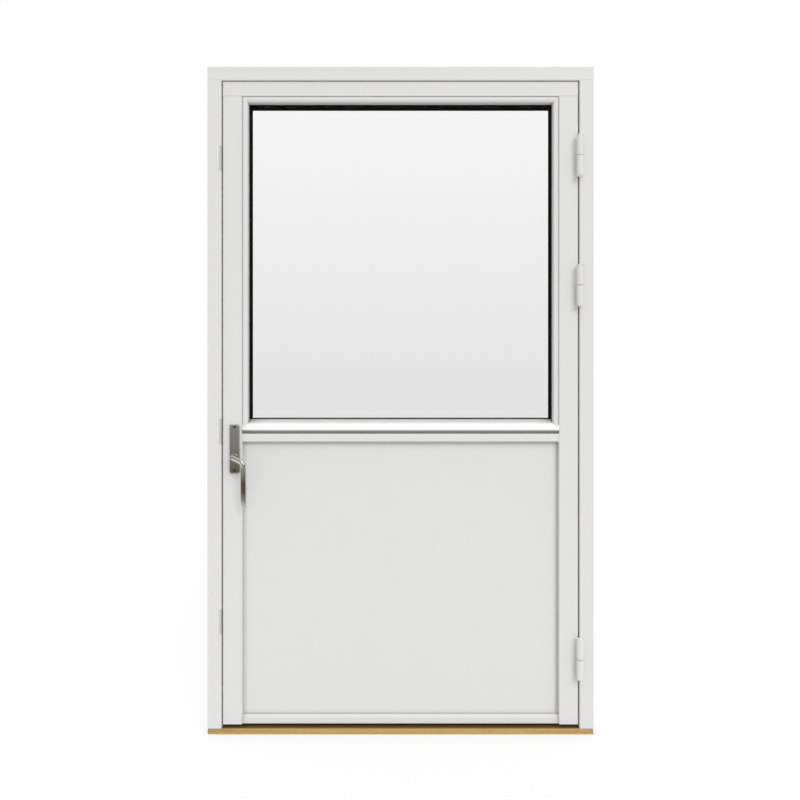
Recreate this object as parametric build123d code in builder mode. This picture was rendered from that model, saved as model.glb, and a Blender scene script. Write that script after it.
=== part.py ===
from build123d import *
import math
import os

# A glazed timber balcony door that opens inwards, in its frame, seen here from the room side.
# X runs to the right, Y away from the room, Z up. The origin is mid-width and mid-depth of the
# frame, on the underside of the threshold. All sizes are in millimetres.

# Frame: head and jambs with a stop on the weather side, on an oak threshold
frame_width = 1180.0
frame_height = 2040.0
jamb_face = 42.5
head_face = 41.0
stop_depth = 25.0
stop_cover = 11.0
sill_height = 17.5
sill_nose_radius = 5.0
fixing_hole_radius = 5.5
fixing_hole_setback = 70.0
fixing_height_shares = (0.06, 0.315, 0.57, 0.825)
arris_radius = 1.5

# Leaf: stiles and rails round the glass and the lower panel
leaf_gap = 3.5
leaf_top_gap = 2.0
leaf_bottom_gap = 10.5
leaf_recess = 6.0
leaf_thickness = 80.0
edge_relief = 2.5
edge_relief_depth = 32.0
seal_gap = 4.0
stile_face = 58.0
top_rail_face = 44.0
bottom_rail_face = 26.0
bottom_rail_recess = 7.0
bottom_rail_chamfer = 5.0
mid_rail_face = 24.0
panel_height = 840.0
panel_recess = 18.0
panel_skin = 6.0
lip_width = 14.5
lip_depth = 12.0
lip_fall = 4.0
tenon_length = 18.0
tenon_thickness = 20.0
tenon_setback = 45.0
tenon_shoulder = 6.0
joint_bevel = 1.5
joint_clearance = 0.1

# Glazing: three panes on black spacers, held by beads from the room side
pane_thickness = 4.0
cavity = 14.0
gasket_thickness = 2.0
gasket_show = 3.25
spacer_width = 8.0
pane_clearance = 4.0
block_height = 5.0
block_length = 100.0
block_place_share = 0.62
bead_width = 18.5
bead_recess = 1.0
bead_crown = 8.5
bead_joint_fall = 3.5
bead_glass_fall = 7.0
sill_bead_height = 39.0
sill_bead_fall = 13.0
sill_bead_nose = 2.0
sill_bead_lean = 5.0
sill_bead_nose_radius = 14.0
sill_bead_drip_height = 7.0
sill_bead_drip_depth = 6.0
sill_bead_drip_radius = 3.5
shadow_gap_height = 5.5
shadow_gap_depth = 16.0
glass_seat_drop = 21.5

# Frame seal and threshold rail on the weather side
seal_groove_width = 4.0
seal_groove_depth = 5.0
seal_bulb_width = 8.0
seal_bulb_radius = 2.5
seal_clearance = 0.3
rail_front_wall = 8.0
rail_wall = 2.0
rail_back_height = 9.0

# Drip bar on the outside of the bottom rail
drip_reach = 20.0
drip_sheet = 2.2
drip_low = 16.0
drip_foot = 18.0
drip_lip = 9.0
drip_fall = 12.0
drip_end_gap = 7.0

# Hinges: lift-off barrels in front of the gap, with plates let into jamb and leaf
hinge_height_shares = (0.8828, 0.6822, 0.1046)
hinge_barrel_radius = 10.5
hinge_stand_off = 0.5
hinge_knuckle = 60.0
hinge_pin_radius = 5.0
hinge_pin_hold = 42.0
hinge_pin_chamfer = 1.6
hinge_running_clearance = 0.05
hinge_washer = 1.5
hinge_axial_clearance = 0.3
hinge_plate_thickness = 3.0
hinge_plate_depth = 45.0
hinge_cap_height = 4.0
hinge_cap_groove = 0.8
hinge_cap_plug = 8.0
hinge_screw_shares = (0.15, 0.5, 0.85)

# Screws
screw_radius = 2.2
screw_head_radius = 4.2
screw_length = 30.0
screw_clearance = 0.1
screw_tip_gap = 1.0
countersink_angle = 90.0
frame_screw_radius = 2.8
frame_screw_head_radius = 5.2
frame_screw_length = 85.0
frame_screw_shares = (0.25, 0.62)

# Espagnolette in the left stile: faceplate, gear case, rod with rack and slots, three bolts
bolt_height_shares = (0.8796, 0.4556, 0.1594)
lock_setback = 34.0
groove_clearance = 0.3
groove_end = 5.0
faceplate_flange = 3.5
faceplate_thickness = 2.5
faceplate_tail = 30.0
bolt_thickness = 10.4
bolt_height = 22.0
bolt_throw = 13.0
bolt_nose_radius = 2.0
bolt_groove_gap = 1.5
bolt_pin_radius = 2.5
bolt_pin_inset = 10.0
bolt_pin_cover = 2.5
slide_clearance = 0.2
rod_thickness = 3.0
rod_width = 16.0
rod_gap = 2.5
rod_tail = 20.0
rod_head = 40.0
slot_margin = 4.0
rod_bolt_gap = 0.6
gear_module = 1.6
gear_teeth = 12
gear_pressure_angle = 25.0
gear_addendum_share = 0.8
gear_dedendum_share = 1.1
gear_backlash = 0.3
gear_thickness = 5.0
gear_hub_radius = 7.0
rack_teeth_below = 2
rack_teeth_above = 5
case_wall = 1.5
case_clearance = 0.6
case_half_height = 22.0

# Strike plates on the left jamb
strike_height = 78.0
strike_thickness = 2.5
strike_lip = 7.0
strike_depth = 62.0
strike_slot_gap = 1.0
strike_pocket_gap = 2.5
strike_screw_share = 0.78

# Handle
handle_height = 819.5
handle_backset = 37.25
plate_width = 29.5
plate_above = 99.5
plate_below = 49.5
plate_thickness = 10.0
plate_corner_radius = 5.0
plate_edge_radius = 2.5
plate_screw_inset = 8.0
spindle_side = 8.0
spindle_hole_radius = 8.0
journal_radius = 9.8
journal_depth = 6.0
collar_radius = 12.0
collar_height = 5.0
collar_round = 1.5
collar_gap = 0.3
lever_stand_off = 46.0
lever_rise = 4.0
lever_offset = 34.8
lever_drop = 15.0
lever_lean = 1.2
lever_length = 152.0
lever_half_width = 8.2
lever_half_depth = 6.0
lever_neck_bend = 9.0
lever_grip_bend = 23.0
lever_end_slope = 12.0
lever_end_tilt = 22.0
lever_end_round = 1.0
socket_depth = 22.0

# Places that follow from the sizes above
half_width = frame_width / 2
frame_depth = leaf_recess + leaf_thickness + seal_gap + stop_depth
frame_front = -frame_depth / 2
frame_back = frame_depth / 2
leaf_front = frame_front + leaf_recess
leaf_back = leaf_front + leaf_thickness
stop_front = leaf_back + seal_gap
jamb_inner = half_width - jamb_face
leaf_edge = jamb_inner - leaf_gap
stop_inner = leaf_edge - stop_cover
head_under = frame_height - head_face
leaf_top = head_under - leaf_top_gap
leaf_bottom = sill_height + leaf_bottom_gap
leaf_height = leaf_top - leaf_bottom
stop_under = leaf_top - stop_cover
rail_top = leaf_bottom + stop_cover
rebate_edge = leaf_edge - stile_face
lip_edge = rebate_edge - lip_width
lip_front = leaf_back - lip_depth
rebate_top = leaf_top - top_rail_face
panel_bottom = leaf_bottom + bottom_rail_face
mid_rail_bottom = panel_bottom + panel_height
mid_rail_top = mid_rail_bottom + mid_rail_face
bead_seat = mid_rail_top + shadow_gap_height
sight_bottom = bead_seat + sill_bead_height
glass_seat = sight_bottom - glass_seat_drop
tenon_front = leaf_front + tenon_setback
tenon_back = tenon_front + tenon_thickness

# The glazing build-up, from the weather side's lip towards the room
pane_step = pane_thickness + cavity
pane_outer_front = lip_front - gasket_thickness - pane_thickness
pane_middle_front = pane_outer_front - pane_step
pane_inner_front = pane_middle_front - pane_step
bead_back = pane_inner_front - gasket_thickness
bead_front = leaf_front + bead_recess
bead_depth = bead_back - bead_front

# Rectangular outlines in the leaf's plane, as half width, lowest and highest height
pane_outline = (rebate_edge - pane_clearance, glass_seat + block_height, rebate_top - pane_clearance)
sight_outline = (rebate_edge - bead_width, sight_bottom, rebate_top - bead_width)


def grown(outline, amount):
    """Returns a rectangular outline grown by an amount on every side."""
    half, low, high = outline
    return (half + amount, low - amount, high + amount)


spacer_inside = grown(sight_outline, -gasket_show)
spacer_outside = grown(spacer_inside, spacer_width)
gasket_outside = grown(pane_outline, -pane_clearance / 2)
seal_line = (
    (leaf_edge + stop_inner) / 2,
    (leaf_bottom + rail_top) / 2,
    (leaf_top + stop_under) / 2,
)

# Hinges and bolts come in threes, named from the top
height_names = ("top", "middle", "bottom")

# Hinge places
hinge_x = (jamb_inner + leaf_edge) / 2
hinge_y = frame_front - hinge_stand_off - hinge_barrel_radius
hinge_plate_back = leaf_front + hinge_plate_depth
hinge_bore_radius = hinge_pin_radius + hinge_running_clearance
hinge_heights = {}
for hinge, height_share in zip(height_names, hinge_height_shares):
    hinge_heights[hinge] = leaf_bottom + leaf_height * height_share

# Lock places
lock_y = leaf_front + lock_setback
lock_edge = -leaf_edge
bolt_heights = {}
for bolt, height_share in zip(height_names, bolt_height_shares):
    bolt_heights[bolt] = leaf_bottom + leaf_height * height_share
groove_width = bolt_groove_gap + bolt_thickness + rod_bolt_gap + rod_thickness + bolt_groove_gap
groove_front = lock_y - groove_width / 2
groove_back = lock_y + groove_width / 2
faceplate_width = groove_width + 2 * faceplate_flange
bolt_front = groove_front + bolt_groove_gap
bolt_back = bolt_front + bolt_thickness
bolt_tip = lock_edge - bolt_throw
bolt_end = lock_edge + bolt_pin_inset + bolt_pin_radius + bolt_pin_cover
rod_front = bolt_back + rod_bolt_gap
rod_back = rod_front + rod_thickness
rod_left = lock_edge + faceplate_thickness + rod_gap
rod_right = rod_left + rod_width
slot_half = bolt_pin_radius + slide_clearance
slot_left = lock_edge + bolt_pin_inset
slot_right = slot_left + bolt_throw
slot_plate_right = slot_right + slot_half + slot_margin
rod_low = bolt_heights["bottom"] - rod_tail
rod_high = bolt_heights["top"] + rod_head
gear_radius = gear_module * gear_teeth / 2
rod_travel = gear_radius * math.pi / 2
groove_low = rod_low - rod_travel - groove_end
groove_high = rod_high + groove_end
faceplate_low = groove_low - faceplate_tail
faceplate_high = groove_high + faceplate_tail
handle_x = lock_edge + handle_backset
handle_z = leaf_bottom + handle_height
gear_tip_radius = gear_radius + gear_module * gear_addendum_share
gear_root_radius = gear_radius - gear_module * gear_dedendum_share
gear_y = (rod_front + rod_back) / 2
gear_front = gear_y - gear_thickness / 2
gear_back = gear_y + gear_thickness / 2
case_front = gear_front - case_clearance - case_wall
case_back = gear_back + case_clearance + case_wall
case_left = lock_edge + faceplate_thickness
case_right = handle_x + gear_tip_radius + case_clearance + case_wall
rack_root = handle_x - gear_radius - gear_module * gear_dedendum_share
rack_tip = handle_x - gear_radius + gear_module * gear_addendum_share
plate_front = leaf_front - plate_thickness

os.makedirs("parts", exist_ok=True)


def save(builder, name):
    """Labels a finished piece and writes its STEP file."""
    builder.part.label = name
    export_step(builder.part, f"parts/{name}.step")


def prism(plane, points, amount, mode=Mode.ADD):
    """Extrudes a straight-sided outline from its plane."""
    with BuildSketch(plane) as outline:
        with BuildLine():
            Polyline(*points, close=True)
        make_face()
    extrude(outline.sketch, amount=amount, mode=mode)


def block(low, high, mode=Mode.ADD):
    """Adds or cuts the box between two corners."""
    size = [b - a for a, b in zip(low, high)]
    centre = tuple((a + b) / 2 for a, b in zip(low, high))
    with Locations(centre):
        Box(*size, mode=mode)


def slab(outline, front, depth, mode=Mode.ADD):
    """Adds or cuts a plate that fills a rectangular outline from a front face backwards."""
    half, low, high = outline
    block((-half, front, low), (half, front + depth, high), mode)


def drill(places, radius, depth):
    """Drills round holes from planes, against their normals."""
    with Locations(*places):
        Cylinder(
            radius,
            depth,
            align=(Align.CENTER, Align.CENTER, Align.MAX),
            mode=Mode.SUBTRACT,
        )


def screw_holes(places, radius, head_radius, depth):
    """Drills countersunk screw holes from planes, against their normals."""
    with Locations(*places):
        CounterSinkHole(
            radius + screw_clearance,
            head_radius + screw_clearance,
            depth,
            counter_sink_angle=countersink_angle,
        )


def wood_screw_holes(places):
    """Drills the holes of the small wood screws through plates and into timber."""
    screw_holes(places, screw_radius, screw_head_radius, screw_length)


def frame_screw_holes(places):
    """Drills the holes of the frame's long corner screws."""
    screw_holes(places, frame_screw_radius, frame_screw_head_radius, frame_screw_length)


def screw_group(name, places, radius, head_radius, hole_depth):
    """Makes countersunk wood screws with their heads on the given planes."""
    neck = (head_radius - radius) / math.tan(math.radians(countersink_angle / 2))
    length = hole_depth - screw_tip_gap
    with BuildPart() as screw:
        with BuildSketch(Plane.XZ):
            with BuildLine():
                Polyline(
                    (0, 0),
                    (head_radius, 0),
                    (radius, -neck),
                    (radius, -length + radius),
                    (0, -length),
                    close=True,
                )
            make_face()
        revolve(axis=Axis.Z)
    with BuildPart() as group:
        with Locations(*places):
            add(screw.part)
    save(group, name)


def seal_ring(clearance):
    """Returns the seal groove's ring in the stop's front face, narrowed by a clearance."""
    reach = seal_groove_width / 2 - clearance
    with BuildSketch(Plane.XZ.offset(-stop_front)) as ring:
        for amount, mode in ((reach, Mode.ADD), (-reach, Mode.SUBTRACT)):
            half, low, high = grown(seal_line, amount)
            with Locations((0, (low + high) / 2)):
                Rectangle(2 * half, high - low, mode=mode)
    return ring.sketch


def seal_groove():
    """Cuts the groove for the frame seal in the front face of the stop."""
    extrude(seal_ring(0), amount=-seal_groove_depth, mode=Mode.SUBTRACT)


def span(side, inner, outer):
    """Returns a range in X on one side of the door, its lower end first."""
    return sorted((side * inner, side * outer))


def front_plane(x, y, z):
    """Returns a plane across Y that faces the room."""
    return Plane(origin=(x, y, z), x_dir=(1, 0, 0), z_dir=(0, -1, 0))


def side_plane(x, y, z, side):
    """Returns a plane across X that faces left or right."""
    return Plane(origin=(x, y, z), x_dir=(0, 1, 0), z_dir=(side, 0, 0))


def under_plane(x, y, z):
    """Returns a plane that faces down."""
    return Plane(origin=(x, y, z), x_dir=(1, 0, 0), z_dir=(0, 0, -1))


# Places of the screws, each a plane whose normal leaves the timber
corner_screw_x = half_width - jamb_face / 2
corner_screws_y = [frame_front + frame_depth * share for share in frame_screw_shares]
head_screw_places = []
sill_screw_places = []
for side in (-1, 1):
    for screw_y in corner_screws_y:
        head_screw_places.append(Plane(origin=(side * corner_screw_x, screw_y, frame_height)))
        sill_screw_places.append(under_plane(side * corner_screw_x, screw_y, 0))

strike_places = {}
for bolt, bolt_z in bolt_heights.items():
    reach = strike_height / 2 * strike_screw_share
    strike_places[bolt] = []
    for screw_z in (bolt_z - reach, bolt_z + reach):
        strike_places[bolt].append(side_plane(-jamb_inner, lock_y, screw_z, 1))
strike_screw_places = sum(strike_places.values(), [])

hinge_frame_places = {}
hinge_leaf_places = {}
hinge_screw_y = (leaf_front + hinge_plate_back) / 2
for hinge, hinge_z in hinge_heights.items():
    hinge_frame_places[hinge] = []
    hinge_leaf_places[hinge] = []
    for screw_share in hinge_screw_shares:
        reach = hinge_knuckle * screw_share
        low_z = hinge_z - hinge_washer - reach
        high_z = hinge_z + hinge_axial_clearance + reach
        hinge_frame_places[hinge].append(side_plane(jamb_inner, hinge_screw_y, low_z, -1))
        hinge_leaf_places[hinge].append(side_plane(leaf_edge, hinge_screw_y, high_z, 1))
hinge_frame_screw_places = sum(hinge_frame_places.values(), [])
hinge_leaf_screw_places = sum(hinge_leaf_places.values(), [])

faceplate_screw_places = [
    side_plane(lock_edge, lock_y, faceplate_low + faceplate_tail / 2, -1),
    side_plane(lock_edge, lock_y, faceplate_high - faceplate_tail / 2, -1),
]

handle_screw_places = [
    front_plane(handle_x, plate_front, handle_z + plate_above - plate_screw_inset),
    front_plane(handle_x, plate_front, handle_z - plate_below + plate_screw_inset),
]


# Head of the frame: runs over both jambs, with the stop between them
with BuildPart() as frame_head:
    with BuildSketch(Plane.YZ.offset(-half_width)):
        with Locations((0, (head_under + frame_height) / 2)):
            Rectangle(frame_depth, head_face)
        fillet(vertices().group_by(Axis.X)[0], arris_radius)
    extrude(amount=frame_width)
    block((-stop_inner, stop_front, stop_under), (stop_inner, frame_back, head_under))
    seal_groove()
    frame_screw_holes(head_screw_places)
save(frame_head, "frame_head")


# Jambs: stand on the threshold under the head
def jamb(side):
    """Adds one jamb's L-shaped section, its seal groove, fixing holes and corner screw holes."""
    with BuildSketch(Plane.XY.offset(sill_height)) as section:
        with BuildLine():
            Polyline(
                (side * half_width, frame_front),
                (side * jamb_inner, frame_front),
                (side * jamb_inner, stop_front),
                (side * stop_inner, stop_front),
                (side * stop_inner, frame_back),
                (side * half_width, frame_back),
                close=True,
            )
        make_face()
        fillet(section.vertices().group_by(Axis.Y)[0], arris_radius)
    extrude(section.sketch, amount=head_under - sill_height)
    seal_groove()
    fixing_places = []
    for share in fixing_height_shares:
        fixing_z = frame_height * share
        fixing_places.append(
            side_plane(side * half_width, frame_front + fixing_hole_setback, fixing_z, side)
        )
    drill(fixing_places, fixing_hole_radius, jamb_face)
    frame_screw_holes(head_screw_places + sill_screw_places)


def bolt_slot(bolt_z, depth):
    """Cuts a bolt's slot in the left jamb's side of the gap."""
    low = bolt_z - bolt_height / 2 - strike_slot_gap
    high = bolt_z + bolt_height / 2 + strike_slot_gap
    block(
        (-jamb_inner - depth, bolt_front - strike_slot_gap, low),
        (-jamb_inner, bolt_back + strike_slot_gap, high),
        Mode.SUBTRACT,
    )


with BuildPart() as frame_jamb_left:
    jamb(-1)
    for bolt_z in bolt_heights.values():
        strike_low = bolt_z - strike_height / 2
        strike_high = bolt_z + strike_height / 2
        block(
            (-jamb_inner - strike_thickness, frame_front, strike_low),
            (-jamb_inner, frame_front + strike_depth, strike_high),
            Mode.SUBTRACT,
        )
        block(
            (-jamb_inner - strike_lip, frame_front, strike_low),
            (-jamb_inner, frame_front + strike_thickness, strike_high),
            Mode.SUBTRACT,
        )
        bolt_slot(bolt_z, bolt_throw - leaf_gap + strike_pocket_gap)
    wood_screw_holes(strike_screw_places)
save(frame_jamb_left, "frame_jamb_left")

with BuildPart() as frame_jamb_right:
    jamb(1)
    for hinge_z in hinge_heights.values():
        block(
            (jamb_inner, frame_front, hinge_z - hinge_washer - hinge_knuckle),
            (jamb_inner + hinge_plate_thickness, hinge_plate_back, hinge_z - hinge_washer),
            Mode.SUBTRACT,
        )
    wood_screw_holes(hinge_frame_screw_places)
save(frame_jamb_right, "frame_jamb_right")

# Threshold: an oak board the full depth of the frame, with a rounded nose and rounded front ends
with BuildPart() as threshold:
    block((-half_width, frame_front, 0), (half_width, frame_back, sill_height))
    front_ends = threshold.edges().filter_by(Axis.Z).group_by(Axis.Y)[0]
    fillet(front_ends, sill_nose_radius)
    nose = threshold.faces().sort_by(Axis.Z)[-1].edges().group_by(Axis.Y)[0]
    fillet(nose, sill_nose_radius)
    frame_screw_holes(sill_screw_places)
save(threshold, "threshold")

# Threshold rail: a hollow aluminium upstand between the jambs, sloped to the weather side
with BuildPart() as threshold_rail:
    prism(
        Plane.YZ.offset(-stop_inner),
        (
            (stop_front, sill_height),
            (frame_back, sill_height),
            (frame_back, sill_height + rail_back_height),
            (stop_front + rail_front_wall, rail_top),
            (stop_front, rail_top),
        ),
        2 * stop_inner,
    )
    prism(
        Plane.YZ.offset(-stop_inner),
        (
            (stop_front + rail_front_wall, sill_height + rail_wall),
            (frame_back - rail_wall, sill_height + rail_wall),
            (frame_back - rail_wall, sill_height + rail_back_height - rail_wall),
            (stop_front + rail_front_wall, rail_top - 2 * rail_wall),
        ),
        2 * stop_inner,
        Mode.SUBTRACT,
    )
    seal_groove()
save(threshold_rail, "threshold_rail")

# Frame seal: a rubber ring with a tail in the groove and a soft bulb towards the leaf
with BuildPart() as frame_seal:
    bulb_front = leaf_back + seal_clearance
    slab(grown(seal_line, seal_bulb_width / 2), bulb_front, stop_front - bulb_front)
    slab(grown(seal_line, -seal_bulb_width / 2), bulb_front, stop_front - bulb_front, Mode.SUBTRACT)
    bulb_edges = frame_seal.faces().sort_by(Axis.Y)[0].edges()
    fillet(bulb_edges, seal_bulb_radius)
    extrude(seal_ring(joint_clearance), amount=joint_clearance - seal_groove_depth)
save(frame_seal, "frame_seal")

screw_group(
    "frame_screws",
    head_screw_places + sill_screw_places,
    frame_screw_radius,
    frame_screw_head_radius,
    frame_screw_length,
)

# Strike plates: bent steel, a lip on the jamb's front and a leg with the bolt's slot in the rebate
for strike, bolt_z in bolt_heights.items():
    with BuildPart() as strike_plate:
        prism(
            Plane.XY.offset(bolt_z - strike_height / 2),
            (
                (-jamb_inner, frame_front),
                (-jamb_inner, frame_front + strike_depth),
                (-jamb_inner - strike_thickness, frame_front + strike_depth),
                (-jamb_inner - strike_thickness, frame_front + strike_thickness),
                (-jamb_inner - strike_lip, frame_front + strike_thickness),
                (-jamb_inner - strike_lip, frame_front),
            ),
            strike_height,
        )
        bend = strike_plate.edges().filter_by(Axis.Z).group_by(Axis.Y)[0].sort_by(Axis.X)[-1]
        fillet(bend, strike_thickness / 2)
        bolt_slot(bolt_z, strike_thickness)
        wood_screw_holes(strike_places[strike])
    save(strike_plate, f"strike_{strike}")

screw_group("strike_screws", strike_screw_places, screw_radius, screw_head_radius, screw_length)


# Hinges
def hinge_half(low, plate_low_x, places, name):
    """Makes one hinge half: a bored knuckle and its plate, from a lowest height upwards."""
    with BuildPart() as half:
        with BuildSketch(Plane.XY.offset(low)):
            with Locations((plate_low_x + hinge_plate_thickness / 2, (hinge_y + hinge_plate_back) / 2)):
                Rectangle(hinge_plate_thickness, hinge_plate_back - hinge_y)
            with Locations((hinge_x, hinge_y)):
                Circle(hinge_barrel_radius)
                Circle(hinge_bore_radius, mode=Mode.SUBTRACT)
        extrude(amount=hinge_knuckle)
        wood_screw_holes(places)
    save(half, name)


def hinge_caps(name, places):
    """Makes the domed caps that close the barrels, each with a groove under it and a plug."""
    with BuildPart() as cap:
        with BuildSketch(Plane.XZ):
            with BuildLine():
                Polyline(
                    (0, -hinge_cap_plug),
                    (hinge_pin_radius, -hinge_cap_plug),
                    (hinge_pin_radius, 0),
                    (hinge_barrel_radius - hinge_cap_groove, 0),
                    (hinge_barrel_radius - hinge_cap_groove, hinge_cap_groove),
                    (hinge_barrel_radius, hinge_cap_groove),
                    (hinge_barrel_radius, hinge_cap_height / 2),
                )
                RadiusArc(
                    (hinge_barrel_radius, hinge_cap_height / 2),
                    (0, hinge_cap_height),
                    -(hinge_barrel_radius**2 + (hinge_cap_height / 2) ** 2) / hinge_cap_height,
                )
                Line((0, hinge_cap_height), (0, -hinge_cap_plug))
            make_face()
        revolve(axis=Axis.Z)
    with BuildPart() as group:
        with Locations(*places):
            add(cap.part)
    save(group, name)


washer_places = []
upper_cap_places = []
lower_cap_places = []
for hinge, hinge_z in hinge_heights.items():
    frame_knuckle_low = hinge_z - hinge_washer - hinge_knuckle
    leaf_knuckle_low = hinge_z + hinge_axial_clearance
    leaf_plate_x = leaf_edge - hinge_plate_thickness
    hinge_half(frame_knuckle_low, jamb_inner, hinge_frame_places[hinge], f"hinge_frame_{hinge}")
    hinge_half(leaf_knuckle_low, leaf_plate_x, hinge_leaf_places[hinge], f"hinge_leaf_{hinge}")
    with BuildPart() as hinge_pin:
        with BuildSketch(Plane.XY.offset(hinge_z - hinge_washer - hinge_pin_hold)):
            with Locations((hinge_x, hinge_y)):
                Circle(hinge_pin_radius)
        extrude(amount=2 * hinge_pin_hold)
        chamfer(hinge_pin.edges().group_by(Axis.Z)[-1], hinge_pin_chamfer)
    save(hinge_pin, f"hinge_pin_{hinge}")
    washer_places.append((hinge_x, hinge_y, hinge_z - hinge_washer))
    upper_cap_places.append(Plane(origin=(hinge_x, hinge_y, leaf_knuckle_low + hinge_knuckle)))
    lower_cap_places.append(under_plane(hinge_x, hinge_y, frame_knuckle_low))

with BuildPart() as hinge_washers:
    with Locations(*washer_places):
        Cylinder(hinge_barrel_radius, hinge_washer, align=(Align.CENTER, Align.CENTER, Align.MIN))
        Cylinder(
            hinge_bore_radius,
            hinge_washer,
            align=(Align.CENTER, Align.CENTER, Align.MIN),
            mode=Mode.SUBTRACT,
        )
save(hinge_washers, "hinge_washers")

hinge_caps("hinge_caps_upper", upper_cap_places)
hinge_caps("hinge_caps_lower", lower_cap_places)
for group, places in (
    ("hinge_frame_screws", hinge_frame_screw_places),
    ("hinge_leaf_screws", hinge_leaf_screw_places),
):
    screw_group(group, places, screw_radius, screw_head_radius, screw_length)


# Leaf stiles: a rebated section with a fixed lip on the weather side, tenoned into the top rail
def mortise(low, high):
    """Cuts a mortise that clears its tenon."""
    block([a - joint_clearance for a in low], [b + joint_clearance for b in high], Mode.SUBTRACT)


mid_tenon = (mid_rail_bottom + tenon_shoulder, bead_seat - tenon_shoulder)
bottom_tenon = (leaf_bottom + tenon_shoulder, panel_bottom - tenon_shoulder)
top_tenon = (rebate_edge + 2 * tenon_shoulder, leaf_edge - 2 * tenon_shoulder)


def relieve_edge(side, low, high):
    """Cuts the leaf's edge back towards the weather side, so that it clears the jamb as it swings."""
    prism(
        Plane.XY.offset(low),
        (
            (side * leaf_edge, leaf_back - edge_relief_depth),
            (side * leaf_edge, leaf_back),
            (side * (leaf_edge - edge_relief), leaf_back),
        ),
        high - low,
        Mode.SUBTRACT,
    )


def stile(side):
    """Adds one stile with its top tenon and the mortises for the mid and bottom rails."""
    with BuildSketch(Plane.XY.offset(leaf_bottom)) as section:
        with BuildLine():
            Polyline(
                (side * leaf_edge, leaf_front),
                (side * rebate_edge, leaf_front),
                (side * rebate_edge, lip_front),
                (side * lip_edge, lip_front),
                (side * lip_edge, leaf_back),
                (side * leaf_edge, leaf_back),
                close=True,
            )
        make_face()
        fillet(section.vertices().group_by(Axis.Y)[0], arris_radius)
    extrude(section.sketch, amount=rebate_top - leaf_bottom)
    relieve_edge(side, leaf_bottom, rebate_top)
    near, far = span(side, rebate_edge, leaf_edge)
    prism(
        Plane.YZ.offset(near),
        (
            (leaf_front, rebate_top),
            (leaf_front, rebate_top - joint_bevel),
            (leaf_front + joint_bevel, rebate_top),
        ),
        far - near,
        Mode.SUBTRACT,
    )
    near, far = span(side, *top_tenon)
    block((near, tenon_front, rebate_top), (far, tenon_back, rebate_top + tenon_length))
    near, far = span(side, rebate_edge, rebate_edge + tenon_length)
    for low, high in (mid_tenon, bottom_tenon):
        mortise((near, tenon_front, low), (far, tenon_back, high))


with BuildPart() as leaf_stile_left:
    stile(-1)
    block(
        (lock_edge, groove_front, groove_low),
        (slot_plate_right + groove_clearance, groove_back, groove_high),
        Mode.SUBTRACT,
    )
    block(
        (lock_edge, lock_y - faceplate_width / 2, faceplate_low),
        (lock_edge + faceplate_thickness, lock_y + faceplate_width / 2, faceplate_high),
        Mode.SUBTRACT,
    )
    mortise(
        (lock_edge, case_front, handle_z - case_half_height),
        (case_right, case_back, handle_z + case_half_height),
    )
    spindle_place = front_plane(handle_x, leaf_front, handle_z)
    drill([spindle_place], spindle_hole_radius, case_front - leaf_front)
    wood_screw_holes(handle_screw_places + faceplate_screw_places)
save(leaf_stile_left, "leaf_stile_left")

with BuildPart() as leaf_stile_right:
    stile(1)
    for hinge_z in hinge_heights.values():
        plate_low = hinge_z + hinge_axial_clearance
        block(
            (leaf_edge - hinge_plate_thickness, leaf_front, plate_low),
            (leaf_edge, hinge_plate_back, plate_low + hinge_knuckle),
            Mode.SUBTRACT,
        )
    wood_screw_holes(hinge_leaf_screw_places)
save(leaf_stile_right, "leaf_stile_right")

# Top rail: runs over both stiles, with its lip between theirs
with BuildPart() as leaf_top_rail:
    with BuildSketch(Plane.YZ.offset(-leaf_edge)):
        with Locations(((leaf_front + leaf_back) / 2, (rebate_top + leaf_top) / 2)):
            Rectangle(leaf_thickness, top_rail_face)
        fillet(vertices().group_by(Axis.X)[0], arris_radius)
    extrude(amount=2 * leaf_edge)
    block((-lip_edge, lip_front, rebate_top - lip_width), (lip_edge, leaf_back, rebate_top))
    for side in (-1, 1):
        relieve_edge(side, rebate_top, leaf_top)
        near, far = span(side, *top_tenon)
        mortise((near, tenon_front, rebate_top), (far, tenon_back, rebate_top + tenon_length))
save(leaf_top_rail, "leaf_top_rail")

# Mid rail: carries the glass above on a stepped rebate, and holds the panel below
with BuildPart() as leaf_mid_rail:
    with BuildSketch(Plane.YZ.offset(-rebate_edge)) as section:
        with BuildLine():
            Polyline(
                (leaf_front, mid_rail_bottom),
                (lip_front, mid_rail_bottom),
                (lip_front, glass_seat),
                (bead_back, glass_seat),
                (bead_back, bead_seat),
                (leaf_front + shadow_gap_depth, bead_seat),
                (leaf_front + shadow_gap_depth, mid_rail_top),
                (leaf_front, mid_rail_top),
                close=True,
            )
        make_face()
        fillet(section.vertices().group_by(Axis.X)[0], arris_radius)
    extrude(amount=2 * rebate_edge)
    prism(
        Plane.YZ.offset(-lip_edge),
        (
            (lip_front, mid_rail_bottom - lip_width),
            (leaf_back, mid_rail_bottom - lip_width),
            (leaf_back, sight_bottom - 2 * lip_fall),
            (lip_front, sight_bottom - lip_fall),
        ),
        2 * lip_edge,
    )
    for side in (-1, 1):
        near, far = span(side, rebate_edge, rebate_edge + tenon_length)
        block((near, tenon_front, mid_tenon[0]), (far, tenon_back, mid_tenon[1]))
        prism(
            Plane.XY.offset(mid_rail_bottom),
            (
                (side * rebate_edge, leaf_front),
                (side * (rebate_edge - joint_bevel), leaf_front),
                (side * rebate_edge, leaf_front + joint_bevel),
            ),
            mid_rail_face,
            Mode.SUBTRACT,
        )
save(leaf_mid_rail, "leaf_mid_rail")

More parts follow.
